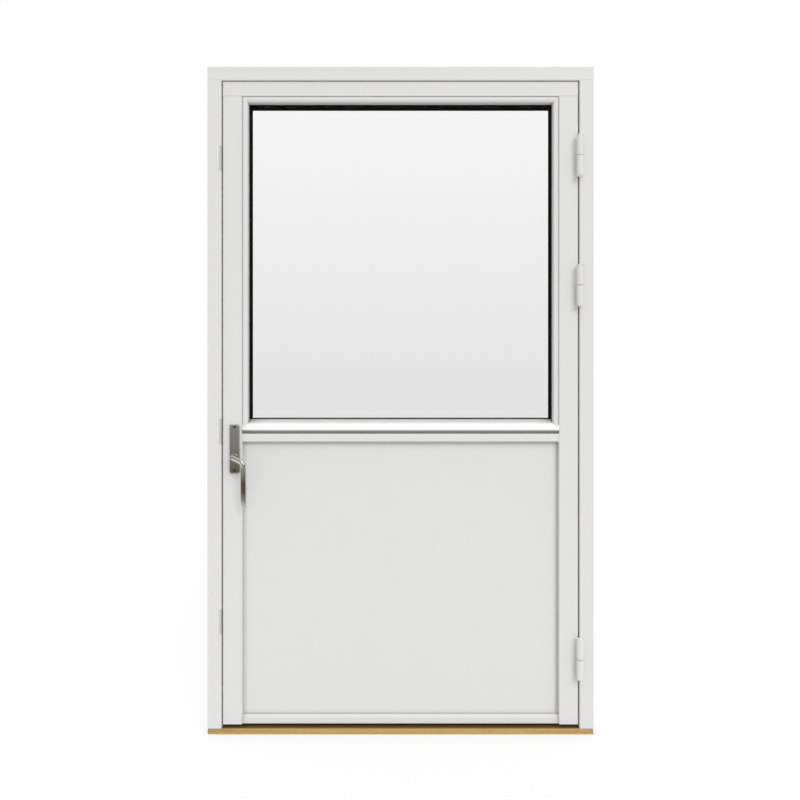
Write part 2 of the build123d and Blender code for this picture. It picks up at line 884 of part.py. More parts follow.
# Bottom rail: set back between the stiles, with a chamfer in front of the panel
with BuildPart() as leaf_bottom_rail:
    bottom_rail_front = leaf_front + bottom_rail_recess
    prism(
        Plane.YZ.offset(-rebate_edge),
        (
            (bottom_rail_front, leaf_bottom),
            (lip_front, leaf_bottom),
            (lip_front, panel_bottom),
            (bottom_rail_front + bottom_rail_chamfer, panel_bottom),
            (bottom_rail_front, panel_bottom - bottom_rail_chamfer),
        ),
        2 * rebate_edge,
    )
    block((-lip_edge, lip_front, leaf_bottom), (lip_edge, leaf_back, panel_bottom + lip_width))
    for side in (-1, 1):
        near, far = span(side, rebate_edge, rebate_edge + tenon_length)
        block((near, tenon_front, bottom_tenon[0]), (far, tenon_back, bottom_tenon[1]))
save(leaf_bottom_rail, "leaf_bottom_rail")

# Sealed glazing unit: three panes, two spacers and the edge seal outside them
pane_fronts = {"inner": pane_inner_front, "middle": pane_middle_front, "outer": pane_outer_front}
for pane, pane_front in pane_fronts.items():
    with BuildPart() as glass_pane:
        slab(pane_outline, pane_front, pane_thickness)
    save(glass_pane, f"pane_{pane}")

spacer_fronts = {
    "inner": pane_inner_front + pane_thickness,
    "outer": pane_middle_front + pane_thickness,
}
for spacer, spacer_front in spacer_fronts.items():
    with BuildPart() as glass_spacer:
        slab(spacer_outside, spacer_front, cavity)
        slab(spacer_inside, spacer_front, cavity, Mode.SUBTRACT)
    save(glass_spacer, f"spacer_{spacer}")

with BuildPart() as edge_seal:
    for spacer_front in spacer_fronts.values():
        slab(pane_outline, spacer_front, cavity)
    for spacer_front in spacer_fronts.values():
        slab(spacer_outside, spacer_front, cavity, Mode.SUBTRACT)
save(edge_seal, "edge_seal")

for gasket, gasket_front in (("inner", bead_back), ("outer", lip_front - gasket_thickness)):
    with BuildPart() as glazing_gasket:
        slab(gasket_outside, gasket_front, gasket_thickness)
        slab(spacer_inside, gasket_front, gasket_thickness, Mode.SUBTRACT)
    save(glazing_gasket, f"gasket_{gasket}")

with BuildPart() as setting_blocks:
    for side in (-1, 1):
        block_x = side * rebate_edge * block_place_share
        block(
            (block_x - block_length / 2, pane_inner_front, glass_seat),
            (block_x + block_length / 2, lip_front - gasket_thickness, glass_seat + block_height),
        )
save(setting_blocks, "setting_blocks")


# Glazing beads: rounded from the joint with the leaf over a crown and back to the glass
def bead_section(plane, to_plane):
    """Returns the bead's section; to_plane maps width from the rebate and depth to the plane."""
    crown = to_plane(bead_crown, bead_front)
    joint = to_plane(0, bead_front + bead_joint_fall)
    glass = to_plane(bead_width, bead_front + bead_glass_fall)
    across = Vector(crown) - Vector(to_plane(0, bead_front))
    with BuildSketch(plane) as section:
        with BuildLine():
            Polyline(glass, to_plane(bead_width, bead_back), to_plane(0, bead_back), joint)
            TangentArc(crown, joint, tangent=-across)
            TangentArc(crown, glass, tangent=across)
        make_face()
    return section.sketch


def mitre_plane(side):
    """Returns the plane that halves a top corner, with its normal towards the upright bead."""
    return Plane(
        origin=(side * rebate_edge, 0, rebate_top),
        x_dir=(0, 1, 0),
        z_dir=(side, 0, -1),
    )


def sill_section(plane):
    """Returns the sill bead's section: sloped top, rounded leaning nose and undercut front."""
    nose = leaf_front - sill_bead_nose
    nose_top = sight_bottom - sill_bead_fall
    nose_low = bead_seat + sill_bead_drip_height
    with BuildSketch(plane) as section:
        with BuildLine():
            Polyline(
                (bead_back, bead_seat),
                (bead_back, sight_bottom),
                (nose + sill_bead_lean, nose_top),
                (nose, nose_low),
                (leaf_front + sill_bead_drip_depth, bead_seat),
                close=True,
            )
        make_face()
        fillet(section.vertices().sort_by(Axis.X)[1], sill_bead_nose_radius)
        fillet(section.vertices().sort_by(Axis.X)[0], sill_bead_drip_radius)
    return section.sketch


with BuildPart() as bead_top:
    top_section = bead_section(
        Plane.YZ.offset(-rebate_edge), lambda width, depth: (depth, rebate_top - width)
    )
    extrude(top_section, amount=2 * rebate_edge)
    for side in (-1, 1):
        split(bisect_by=mitre_plane(side), keep=Keep.BOTTOM)
save(bead_top, "bead_top")

for name, side in (("bead_left", -1), ("bead_right", 1)):
    with BuildPart() as bead_side:
        bead_low = (bead_seat + sight_bottom) / 2
        side_section = bead_section(
            Plane.XY.offset(bead_low), lambda width, depth: (side * (rebate_edge - width), depth)
        )
        extrude(side_section, amount=rebate_top - bead_low)
        split(bisect_by=mitre_plane(side), keep=Keep.TOP)
        extrude(sill_section(Plane.YZ.offset(-rebate_edge)), amount=2 * rebate_edge, mode=Mode.SUBTRACT)
    save(bead_side, name)

with BuildPart() as bead_sill:
    extrude(sill_section(Plane.YZ.offset(-rebate_edge)), amount=2 * rebate_edge)
save(bead_sill, "bead_sill")

# Lower panel: two painted skins on an insulating core, set back in the leaf
panel_outline = (rebate_edge, panel_bottom, mid_rail_bottom)
panel_front = leaf_front + panel_recess
panel_layers = {
    "panel_skin_inner": (panel_front, panel_skin),
    "panel_core": (panel_front + panel_skin, lip_front - panel_front - 2 * panel_skin),
    "panel_skin_outer": (lip_front - panel_skin, panel_skin),
}
for name, (layer_front, layer_depth) in panel_layers.items():
    with BuildPart() as panel_layer:
        slab(panel_outline, layer_front, layer_depth)
    save(panel_layer, name)

# Drip bar: a bent aluminium profile over the threshold rail
with BuildPart() as drip_bar:
    drip_end = stop_inner - drip_end_gap
    bar_low = leaf_bottom + drip_low
    foot_top = bar_low + drip_foot
    foot_back = leaf_back + drip_sheet
    nose_back = leaf_back + drip_reach
    nose_top = foot_top - drip_fall
    lip_low = nose_top - drip_lip
    prism(
        Plane.YZ.offset(-drip_end),
        (
            (leaf_back, bar_low),
            (leaf_back, foot_top),
            (foot_back, foot_top),
            (nose_back, nose_top),
            (nose_back, lip_low),
            (nose_back - drip_sheet, lip_low),
            (nose_back - drip_sheet, nose_top - drip_sheet),
            (foot_back, foot_top - drip_sheet),
            (foot_back, bar_low),
        ),
        2 * drip_end,
    )
save(drip_bar, "drip_bar")

# Espagnolette faceplate: flush in the leaf's edge, with a hole for each bolt
with BuildPart() as lock_faceplate:
    with BuildSketch(Plane.YZ.offset(lock_edge)):
        with Locations((lock_y, (faceplate_low + faceplate_high) / 2)):
            Rectangle(faceplate_width, faceplate_high - faceplate_low)
        for bolt_z in bolt_heights.values():
            with Locations(((bolt_front + bolt_back) / 2, bolt_z)):
                Rectangle(
                    bolt_thickness + 2 * slide_clearance,
                    bolt_height + 2 * slide_clearance,
                    mode=Mode.SUBTRACT,
                )
    extrude(amount=faceplate_thickness)
    wood_screw_holes(faceplate_screw_places)
save(lock_faceplate, "lock_faceplate")

screw_group(
    "faceplate_screws", faceplate_screw_places, screw_radius, screw_head_radius, screw_length
)

# Gear case: a box behind the faceplate round the pinion and the rack
with BuildPart() as lock_case:
    case_low = handle_z - case_half_height
    case_high = handle_z + case_half_height
    block((case_left, case_front, case_low), (case_right, case_back, case_high))
    block(
        (case_left + case_wall, case_front + case_wall, case_low + case_wall),
        (case_right - case_wall, case_back - case_wall, case_high - case_wall),
        Mode.SUBTRACT,
    )
    block(
        (case_left + case_wall, rod_front - slide_clearance, case_low),
        (rack_tip + case_clearance, rod_back + slide_clearance, case_high),
        Mode.SUBTRACT,
    )
    hub_place = front_plane(handle_x, case_front, handle_z)
    drill([hub_place], gear_hub_radius + hinge_running_clearance, case_back - case_front)
save(lock_case, "lock_case")

# Lock rod: a flat bar with a rack at the pinion and an inclined slot at each bolt
slot_angle = math.degrees(math.atan2(rod_travel, bolt_throw))
rack_pitch = math.pi * gear_module
rack_slope = math.tan(math.radians(gear_pressure_angle))
rack_half = (rack_pitch / 2 - gear_backlash) / 2
rack_tip_half = rack_half - (rack_tip - handle_x + gear_radius) * rack_slope
rack_root_half = rack_half + (handle_x - gear_radius - rack_root) * rack_slope

with BuildPart() as lock_rod:
    with BuildSketch(Plane.XZ.offset(-rod_front)):
        with Locations(((rod_left + rod_right) / 2, (rod_low + rod_high) / 2)):
            Rectangle(rod_width, rod_high - rod_low)
        rack_low = handle_z - (rack_teeth_below + 1) * rack_pitch
        rack_high = handle_z + (rack_teeth_above + 1) * rack_pitch
        with Locations(((rod_left + rack_root) / 2, (rack_low + rack_high) / 2)):
            Rectangle(rack_root - rod_left, rack_high - rack_low)
        for tooth in range(-rack_teeth_below, rack_teeth_above + 1):
            with Locations((0, handle_z + tooth * rack_pitch)):
                Polygon(
                    (rod_right, -rack_root_half),
                    (rack_root, -rack_root_half),
                    (rack_tip, -rack_tip_half),
                    (rack_tip, rack_tip_half),
                    (rack_root, rack_root_half),
                    (rod_right, rack_root_half),
                    align=None,
                )
        for bolt_z in bolt_heights.values():
            slot_low = bolt_z - slot_half - slot_margin
            slot_high = bolt_z + rod_travel + slot_half + slot_margin
            with Locations(((rod_left + slot_plate_right) / 2, (slot_low + slot_high) / 2)):
                Rectangle(slot_plate_right - rod_left, slot_high - slot_low)
            with Locations(((slot_left + slot_right) / 2, bolt_z + rod_travel / 2)):
                SlotCenterToCenter(
                    math.hypot(bolt_throw, rod_travel),
                    2 * slot_half,
                    rotation=slot_angle,
                    mode=Mode.SUBTRACT,
                )
    extrude(amount=-rod_thickness)
save(lock_rod, "lock_rod")

# Lock bolts: each slides through the faceplate, drawn by its pin in the rod's inclined slot
for bolt, bolt_z in bolt_heights.items():
    with BuildPart() as lock_bolt:
        block(
            (bolt_tip, bolt_front, bolt_z - bolt_height / 2),
            (bolt_end, bolt_back, bolt_z + bolt_height / 2),
        )
        nose_edges = lock_bolt.faces().sort_by(Axis.X)[0].edges()
        fillet(nose_edges, bolt_nose_radius)
        with BuildSketch(Plane.XZ.offset(-bolt_back)):
            with Locations((slot_left, bolt_z)):
                Circle(bolt_pin_radius)
        extrude(amount=-(rod_thickness + 2 * rod_bolt_gap))
    save(lock_bolt, f"lock_bolt_{bolt}")


# Pinion: twelve teeth with straight flanks inside the involute, on a hub in the gear case
def involute(angle):
    """Returns the involute function of an angle in radians."""
    return math.tan(angle) - angle


base_radius = gear_radius * math.cos(math.radians(gear_pressure_angle))
base_half_angle = math.pi / (2 * gear_teeth) + involute(math.radians(gear_pressure_angle))
tip_half_angle = base_half_angle - involute(math.acos(base_radius / gear_tip_radius))
tooth_outline = []
for tooth_radius, half_angle in (
    (gear_root_radius * math.cos(base_half_angle), -base_half_angle),
    (base_radius, -base_half_angle),
    (gear_tip_radius, -tip_half_angle),
    (gear_tip_radius, tip_half_angle),
    (base_radius, base_half_angle),
    (gear_root_radius * math.cos(base_half_angle), base_half_angle),
):
    tooth_outline.append((tooth_radius * math.cos(half_angle), tooth_radius * math.sin(half_angle)))

with BuildPart() as lock_pinion:
    with BuildSketch(Plane.XZ.offset(-gear_front)):
        with Locations((handle_x, handle_z)):
            Circle(gear_root_radius)
            with PolarLocations(0, gear_teeth, start_angle=180 / gear_teeth):
                Polygon(*tooth_outline, align=None)
    extrude(amount=-gear_thickness)
    with BuildSketch(Plane.XZ.offset(-case_front)):
        with Locations((handle_x, handle_z)):
            Circle(gear_hub_radius)
    extrude(amount=case_front - case_back)
    with BuildSketch(Plane.XZ.offset(-case_front)):
        with Locations((handle_x, handle_z)):
            Rectangle(spindle_side + 2 * joint_clearance, spindle_side + 2 * joint_clearance)
    extrude(amount=case_front - case_back, mode=Mode.SUBTRACT)
save(lock_pinion, "lock_pinion")

# Handle plate: a rounded backplate with a bearing for the lever and two screws
with BuildPart() as handle_plate:
    with BuildSketch(Plane.XZ.offset(-leaf_front)):
        with Locations((handle_x, handle_z + (plate_above - plate_below) / 2)):
            RectangleRounded(plate_width, plate_above + plate_below, plate_corner_radius)
    extrude(amount=plate_thickness)
    fillet(handle_plate.faces().sort_by(Axis.Y)[0].edges(), plate_edge_radius)
    bearing_place = front_plane(handle_x, plate_front, handle_z)
    drill([bearing_place], journal_radius + hinge_running_clearance, plate_thickness)
    wood_screw_holes(handle_screw_places)
save(handle_plate, "handle_plate")

screw_group("handle_screws", handle_screw_places, screw_radius, screw_head_radius, screw_length)

# Lever: a bearing journal and collar, then a neck that bends aside into a hanging grip
lever_root = plate_front + journal_depth
collar_back = plate_front - collar_gap
grip_y = leaf_front - lever_stand_off - lever_rise
grip_x = handle_x + lever_offset + lever_lean
grip_end = handle_z - lever_length
grip_cut = Plane(
    origin=(grip_x, grip_y, grip_end + math.hypot(lever_end_slope, lever_end_tilt) / 2),
    z_dir=(-lever_end_slope / (2 * lever_half_width), -lever_end_tilt / (2 * lever_half_depth), -1),
)
with BuildPart() as handle_lever:
    with BuildSketch(Plane.XZ.offset(-collar_back)):
        with Locations((handle_x, handle_z)):
            Circle(collar_radius)
    extrude(amount=collar_height)
    fillet(handle_lever.faces().sort_by(Axis.Y)[0].edges(), collar_round)
    with BuildLine() as lever_path:
        FilletPolyline(
            (handle_x, collar_back, handle_z),
            (handle_x, leaf_front - lever_stand_off, handle_z),
            (handle_x + lever_offset, grip_y, handle_z - lever_drop),
            (grip_x, grip_y, grip_end),
            radius=[lever_neck_bend, lever_grip_bend],
        )
    with BuildSketch(Plane.XZ.offset(-collar_back)):
        with Locations((handle_x, handle_z)):
            Ellipse(lever_half_depth, lever_half_width)
    sweep(path=lever_path.line)
    split(bisect_by=grip_cut, keep=Keep.BOTTOM)
    fillet(handle_lever.faces().sort_by(Axis.Z)[0].edges(), lever_end_round)
    with BuildSketch(Plane.XZ.offset(-lever_root)):
        with Locations((handle_x, handle_z)):
            Circle(journal_radius)
    extrude(amount=lever_root - collar_back)
    block(
        (
            handle_x - spindle_side / 2 - joint_clearance,
            lever_root - socket_depth,
            handle_z - spindle_side / 2 - joint_clearance,
        ),
        (
            handle_x + spindle_side / 2 + joint_clearance,
            lever_root,
            handle_z + spindle_side / 2 + joint_clearance,
        ),
        Mode.SUBTRACT,
    )
save(handle_lever, "handle_lever")

with BuildPart() as handle_spindle:
    half_side = spindle_side / 2
    block(
        (handle_x - half_side, lever_root - socket_depth + joint_clearance, handle_z - half_side),
        (handle_x + half_side, case_back, handle_z + half_side),
    )
save(handle_spindle, "handle_spindle")
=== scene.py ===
"""Looks of a glazed timber balcony door in its frame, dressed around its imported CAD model.

Everything is in metres in the CAD frame: X runs to the right seen from the room, Y towards the weather
side and Z up, with the origin under the middle of the threshold.
"""

import logging
import math
from dataclasses import dataclass
from enum import Enum

import bmesh
import bpy
from mathutils import Matrix, Vector


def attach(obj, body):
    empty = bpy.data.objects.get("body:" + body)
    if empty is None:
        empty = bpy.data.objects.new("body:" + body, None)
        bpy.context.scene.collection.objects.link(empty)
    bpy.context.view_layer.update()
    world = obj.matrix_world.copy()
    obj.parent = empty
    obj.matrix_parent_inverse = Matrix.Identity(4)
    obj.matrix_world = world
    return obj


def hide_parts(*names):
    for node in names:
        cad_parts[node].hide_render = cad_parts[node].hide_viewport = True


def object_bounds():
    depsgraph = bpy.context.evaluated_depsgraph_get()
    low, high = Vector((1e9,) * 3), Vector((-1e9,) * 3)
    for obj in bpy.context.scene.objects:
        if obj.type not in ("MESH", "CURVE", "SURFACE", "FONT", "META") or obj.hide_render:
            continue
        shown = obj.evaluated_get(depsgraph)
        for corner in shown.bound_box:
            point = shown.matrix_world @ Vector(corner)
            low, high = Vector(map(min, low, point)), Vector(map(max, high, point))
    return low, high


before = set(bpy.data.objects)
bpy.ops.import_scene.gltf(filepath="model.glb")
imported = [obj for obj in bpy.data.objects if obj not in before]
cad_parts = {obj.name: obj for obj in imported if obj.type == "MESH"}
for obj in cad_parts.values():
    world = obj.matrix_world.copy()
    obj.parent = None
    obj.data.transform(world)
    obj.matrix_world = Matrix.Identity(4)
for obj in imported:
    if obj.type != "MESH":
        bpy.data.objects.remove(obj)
CAD_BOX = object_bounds()
MM = 0.001
MERGE_DISTANCE = 0.001 * MM
QUARTER_TURN = 90
WHITE = "#FFFFFF"
# A Mix node has sockets for numbers and for colours under the same names, so they are told by number
NUMBER_A, NUMBER_B = 2, 3
COLOUR_A, COLOUR_B, MIXED_COLOUR = 6, 7, 2
LOG = logging.getLogger("balcony_door")


def linear(colour: str) -> tuple[float, float, float, float]:
    """Turns an sRGB hex colour into linear light.

    Args:
        colour: Six hex digits with a leading hash.

    Returns:
        Linear red, green and blue, with an alpha of 1.
    """
    parts = [int(colour[place : place + 2], 16) / 255 for place in (1, 3, 5)]
    red, green, blue = (p / 12.92 if p <= 0.04045 else ((p + 0.055) / 1.055) ** 2.4 for p in parts)
    return red, green, blue, 1.0


def per_metre(*sizes_mm: float) -> tuple[float, ...]:
    """Turns a pattern's real sizes in millimetres into the scale that repeats it in metres.

    Args:
        sizes_mm: One size, or one for each axis.

    Returns:
        Repeats in a metre, on three axes.
    """
    sizes = sizes_mm if len(sizes_mm) == 3 else sizes_mm * 3
    return tuple(1 / (size * MM) for size in sizes)


def add_node(
    tree: bpy.types.NodeTree,
    kind: str,
    inputs: dict[str | int, object] | None = None,
    **settings: object,
) -> bpy.types.Node:
    """Adds a node with its settings, values and links.

    Args:
        tree: The node tree that gets it.
        kind: The node's Blender type.
        inputs: A value, a socket or a node for each named or numbered input.
        settings: Properties of the node itself.

    Returns:
        The new node.
    """
    node = tree.nodes.new(kind)
    for setting, value in settings.items():
        setattr(node, setting, value)
    for key, value in (inputs or {}).items():
        if isinstance(value, bpy.types.Node):
            value = value.outputs[0]
        if isinstance(value, bpy.types.NodeSocket):
            tree.links.new(value, node.inputs[key])
        else:
            node.inputs[key].default_value = value
    return node


class Run(Enum):
    """The way that grain, brushing or an extrusion's lines run, as the axis along them."""

    ALONG_X = 0
    ALONG_Z = 2

    def sizes(self, across: float, along: float) -> tuple[float, float, float]:
        """Returns a streak's size on each axis, long on this one."""
        lengths = [across, across, across]
        lengths[self.value] = along
        return tuple(lengths)


@dataclass(frozen=True)
class Finish:
    """A material and the process that made its surface.

    Args:
        name: The material's name.
    """

    name: str

    def material(self) -> bpy.types.Material:
        """Returns the finish's Blender material, made the first time it is asked for."""
        found = bpy.data.materials.get(self.name)
        if found:
            return found
        material = bpy.data.materials.new(self.name)
        material.use_nodes = True
        material.node_tree.nodes.clear()
        surface = self.surface(material.node_tree)
        add_node(material.node_tree, "ShaderNodeOutputMaterial", {"Surface": surface})
        return material

    def surface(self, tree: bpy.types.NodeTree) -> bpy.types.Node:
        """Returns the finish's surface shader, built in a tree."""
        raise NotImplementedError


@dataclass(frozen=True)
class SprayedPaint(Finish):
    """Satin paint sprayed on planed pine or board: an even white, with the grain telling in its sheen.

    Args:
        run: The way the timber's grain runs.
        grain_mm: Width and length of the streaks that the grain leaves.
        grain_depth_mm: How deep they are.
        grain_relief: How strongly they tell in the surface.
        grain_detail: Levels of finer streaks in them.
        grain_fineness: How strong the finer ones are.
        peel_mm: Size of the spray's fine ripples.
        peel_depth_mm: How deep those are.
        peel_relief: How strongly they tell in the surface.
        peel_detail: Levels of finer ripples in them.
        light: The paint's colour.
        shade: Its colour along the streaks.
        corner: Its colour deep in an inner corner, as painted shade that darkens where the corner
            closes in.
        corner_shade_mm: How far out of a corner that reaches, or 0 for no such change.
        corner_shade_open: Share of the view that is still open where the corner is at its dullest.
        corner_shade_rays: Rays that feel for a corner.
        roughness: Smoothest and dullest it gets.
        ior: Refractive index of the paint.
        gloss: Strength of its gloss.
    """

    run: Run = Run.ALONG_Z
    grain_mm: tuple[float, float] = (5.0, 240.0)
    grain_depth_mm: float = 0.12
    grain_relief: float = 0.35
    grain_detail: float = 4.0
    grain_fineness: float = 0.6
    peel_mm: float = 4.0
    peel_depth_mm: float = 0.05
    peel_relief: float = 0.4
    peel_detail: float = 1.0
    light: str = "#E4E4E2"
    shade: str = "#E1E1DF"
    corner: str = "#C2C2C0"
    corner_shade_mm: float = 0.0
    corner_shade_open: float = 0.5
    corner_shade_rays: int = 8
    roughness: tuple[float, float] = (0.36, 0.46)
    ior: float = 1.48
    gloss: float = 0.35

    def surface(self, tree: bpy.types.NodeTree) -> bpy.types.Node:
        """Returns white paint with faint grain and spray ripples."""
        place = add_node(tree, "ShaderNodeTexCoord").outputs["Object"]
        along = add_node(
            tree,
            "ShaderNodeMapping",
            {"Vector": place, "Scale": per_metre(*self.run.sizes(*self.grain_mm))},
        )
        ripples = add_node(
            tree, "ShaderNodeMapping", {"Vector": place, "Scale": per_metre(self.peel_mm)}
        )
        grain = add_node(
            tree,
            "ShaderNodeTexNoise",
            {
                "Vector": along,
                "Scale": 1.0,
                "Detail": self.grain_detail,
                "Roughness": self.grain_fineness,
            },
        )
        peel = add_node(
            tree,
            "ShaderNodeTexNoise",
            {"Vector": ripples, "Scale": 1.0, "Detail": self.peel_detail},
        )
        colour = add_node(
            tree,
            "ShaderNodeMix",
            {0: grain, COLOUR_A: linear(self.light), COLOUR_B: linear(self.shade)},
            data_type="RGBA",
        )
        # Painted shade: the colour darkens towards inner corners, by how closed in each spot is
        if self.corner_shade_mm:
            nook = add_node(
                tree,
                "ShaderNodeAmbientOcclusion",
                {"Distance": self.corner_shade_mm * MM},
                samples=self.corner_shade_rays,
            )
            open_share = add_node(
                tree,
                "ShaderNodeMapRange",
                {"Value": nook.outputs["AO"], "From Min": self.corner_shade_open},
            )
            colour = add_node(
                tree,
                "ShaderNodeMix",
                {
                    0: open_share,
                    COLOUR_A: linear(self.corner),
                    COLOUR_B: colour.outputs[MIXED_COLOUR],
                },
                data_type="RGBA",
            )
        sheen = add_node(
            tree,
            "ShaderNodeMapRange",
            {"Value": peel, "To Min": self.roughness[0], "To Max": self.roughness[1]},
        )
        furrows = add_node(
            tree,
            "ShaderNodeBump",
            {
                "Height": grain,
                "Strength": self.grain_relief,
                "Distance": self.grain_depth_mm * MM,
            },
        )
        skin = add_node(
            tree,
            "ShaderNodeBump",
            {
                "Height": peel,
                "Strength": self.peel_relief,
                "Distance": self.peel_depth_mm * MM,
                "Normal": furrows,
            },
        )
        return add_node(
            tree,
            "ShaderNodeBsdfPrincipled",
            {
                "Base Color": colour.outputs[MIXED_COLOUR],
                "Roughness": sheen,
                "Normal": skin,
                "IOR": self.ior,
                "Specular IOR Level": self.gloss,
            },
        )


@dataclass(frozen=True)
class OiledOak(Finish):
    """Planed and oiled oak: warm growth bands, with open pores as short dark dashes along the grain.

    Args:
        run: The way the grain runs.
        band_mm: Width and length of the growth bands.
        band_detail: Levels of finer bands in them.
        band_fineness: How strong the finer ones are.
        band_sway: How much the bands sway.
        band_shares: Shares of the pattern that are wholly early and wholly late wood.
        pore_mm: Width and length of the pores, drawn coarser than real ones so that they show.
        pore_detail: Levels of finer pores among them.
        pore_shares: Shares of the pattern between which a pore opens.
        pore_depth_mm: Depth of the pores.
        pore_relief: How strongly they tell in the surface.
        pale: Colour of the early wood.
        warm: Colour of the late wood.
        pore: Colour of the pores.
        under_leaf_shade: Painted shade: its colour behind the nose and under the leaf, where the leaf
            shades the tread.
        under_leaf_shade_mm: Places on the Y axis between which that sets in.
        roughness: Smoothest and dullest it gets.
        ior: Refractive index of the oil.
    """

    run: Run = Run.ALONG_X
    band_mm: tuple[float, float] = (7.0, 420.0)
    band_detail: float = 5.0
    band_fineness: float = 0.62
    band_sway: float = 0.6
    band_shares: tuple[float, float] = (0.3, 0.7)
    pore_mm: tuple[float, float] = (0.9, 22.0)
    pore_detail: float = 2.0
    pore_shares: tuple[float, float] = (0.6, 0.72)
    pore_depth_mm: float = 0.15
    pore_relief: float = 0.5
    pale: str = "#D1AC62"
    warm: str = "#B88F46"
    pore: str = "#8A6A34"
    under_leaf_shade: str = "#7C5E2E"
    under_leaf_shade_mm: tuple[float, float] = (-57.4, -53.0)
    roughness: tuple[float, float] = (0.4, 0.58)
    ior: float = 1.47

    def surface(self, tree: bpy.types.NodeTree) -> bpy.types.Node:
        """Returns oak with bands, pores and an oily sheen."""
        place = add_node(tree, "ShaderNodeTexCoord").outputs["Object"]
        bands_at = add_node(
            tree,
            "ShaderNodeMapping",
            {"Vector": place, "Scale": per_metre(*self.run.sizes(*self.band_mm))},
        )
        pores_at = add_node(
            tree,
            "ShaderNodeMapping",
            {"Vector": place, "Scale": per_metre(*self.run.sizes(*self.pore_mm))},
        )
        bands = add_node(
            tree,
            "ShaderNodeTexNoise",
            {
                "Vector": bands_at,
                "Scale": 1.0,
                "Detail": self.band_detail,
                "Roughness": self.band_fineness,
                "Distortion": self.band_sway,
            },
        )
        pores = add_node(
            tree,
            "ShaderNodeTexNoise",
            {"Vector": pores_at, "Scale": 1.0, "Detail": self.pore_detail},
        )
        open_pores = add_node(
            tree,
            "ShaderNodeMapRange",
            {"Value": pores, "From Min": self.pore_shares[0], "From Max": self.pore_shares[1]},
        )
        contrast = add_node(
            tree,
            "ShaderNodeMapRange",
            {"Value": bands, "From Min": self.band_shares[0], "From Max": self.band_shares[1]},
        )
        wood = add_node(
            tree,
            "ShaderNodeMix",
            {0: contrast, COLOUR_A: linear(self.pale), COLOUR_B: linear(self.warm)},
            data_type="RGBA",
        )
        colour = add_node(
            tree,
            "ShaderNodeMix",
            {0: open_pores, COLOUR_A: wood.outputs[MIXED_COLOUR], COLOUR_B: linear(self.pore)},
            data_type="RGBA",
        )
        # Painted shade: darker from behind the nose back under the leaf
        depth = add_node(tree, "ShaderNodeSeparateXYZ", {"Vector": place}).outputs["Y"]
        behind = add_node(
            tree,
            "ShaderNodeMapRange",
            {
                "Value": depth,
                "From Min": self.under_leaf_shade_mm[0] * MM,
                "From Max": self.under_leaf_shade_mm[1] * MM,
            },
        )
        under_leaf_shaded = add_node(
            tree,
            "ShaderNodeMix",
            {0: behind, COLOUR_A: colour.outputs[MIXED_COLOUR], COLOUR_B: linear(self.under_leaf_shade)},
            data_type="RGBA",
        )
        sheen = add_node(
            tree,
            "ShaderNodeMapRange",
            {"Value": bands, "To Min": self.roughness[0], "To Max": self.roughness[1]},
        )
        relief = add_node(
            tree,
            "ShaderNodeBump",
            {
                "Height": open_pores,
                "Strength": self.pore_relief,
                "Distance": self.pore_depth_mm * MM,
            },
            invert=True,
        )
        return add_node(
            tree,
            "ShaderNodeBsdfPrincipled",
            {
                "Base Color": under_leaf_shaded.outputs[MIXED_COLOUR],
                "Roughness": sheen,
                "Normal": relief,
                "IOR": self.ior,
            },
        )


@dataclass(frozen=True)
class FloatGlass(Finish):
    """Clear float glass with a coat against glare: nearly colourless, and its mirror image is faint.

    Args:
        tint: What is left of white after one pane.
        mirror: How much the coated faces mirror, against white for bare glass.
        roll_mm: Length of the faint waves of the float bath.
        roll_depth_mm: Their depth.
        roll_relief: How strongly they tell in the surface.
        ior: Refractive index of the glass.
    """

    tint: str = WHITE
    mirror: str = "#A4A4A4"
    roll_mm: float = 260.0
    roll_depth_mm: float = 0.02
    roll_relief: float = 0.2
    ior: float = 1.52

    def surface(self, tree: bpy.types.NodeTree) -> bpy.types.Node:
        """Returns clear refracting glass."""
        place = add_node(tree, "ShaderNodeTexCoord").outputs["Object"]
        at = add_node(tree, "ShaderNodeMapping", {"Vector": place, "Scale": per_metre(self.roll_mm)})
        waves = add_node(tree, "ShaderNodeTexNoise", {"Vector": at, "Scale": 1.0, "Detail": 0.0})
        roll = add_node(
            tree,
            "ShaderNodeBump",
            {
                "Height": waves,
                "Strength": self.roll_relief,
                "Distance": self.roll_depth_mm * MM,
            },
        )
        return add_node(
            tree,
            "ShaderNodeBsdfPrincipled",
            {
                "Base Color": linear(self.tint),
                "Roughness": 0.0,
                "IOR": self.ior,
                "Transmission Weight": 1.0,
                "Specular Tint": linear(self.mirror),
                "Normal": roll,
            },
        )


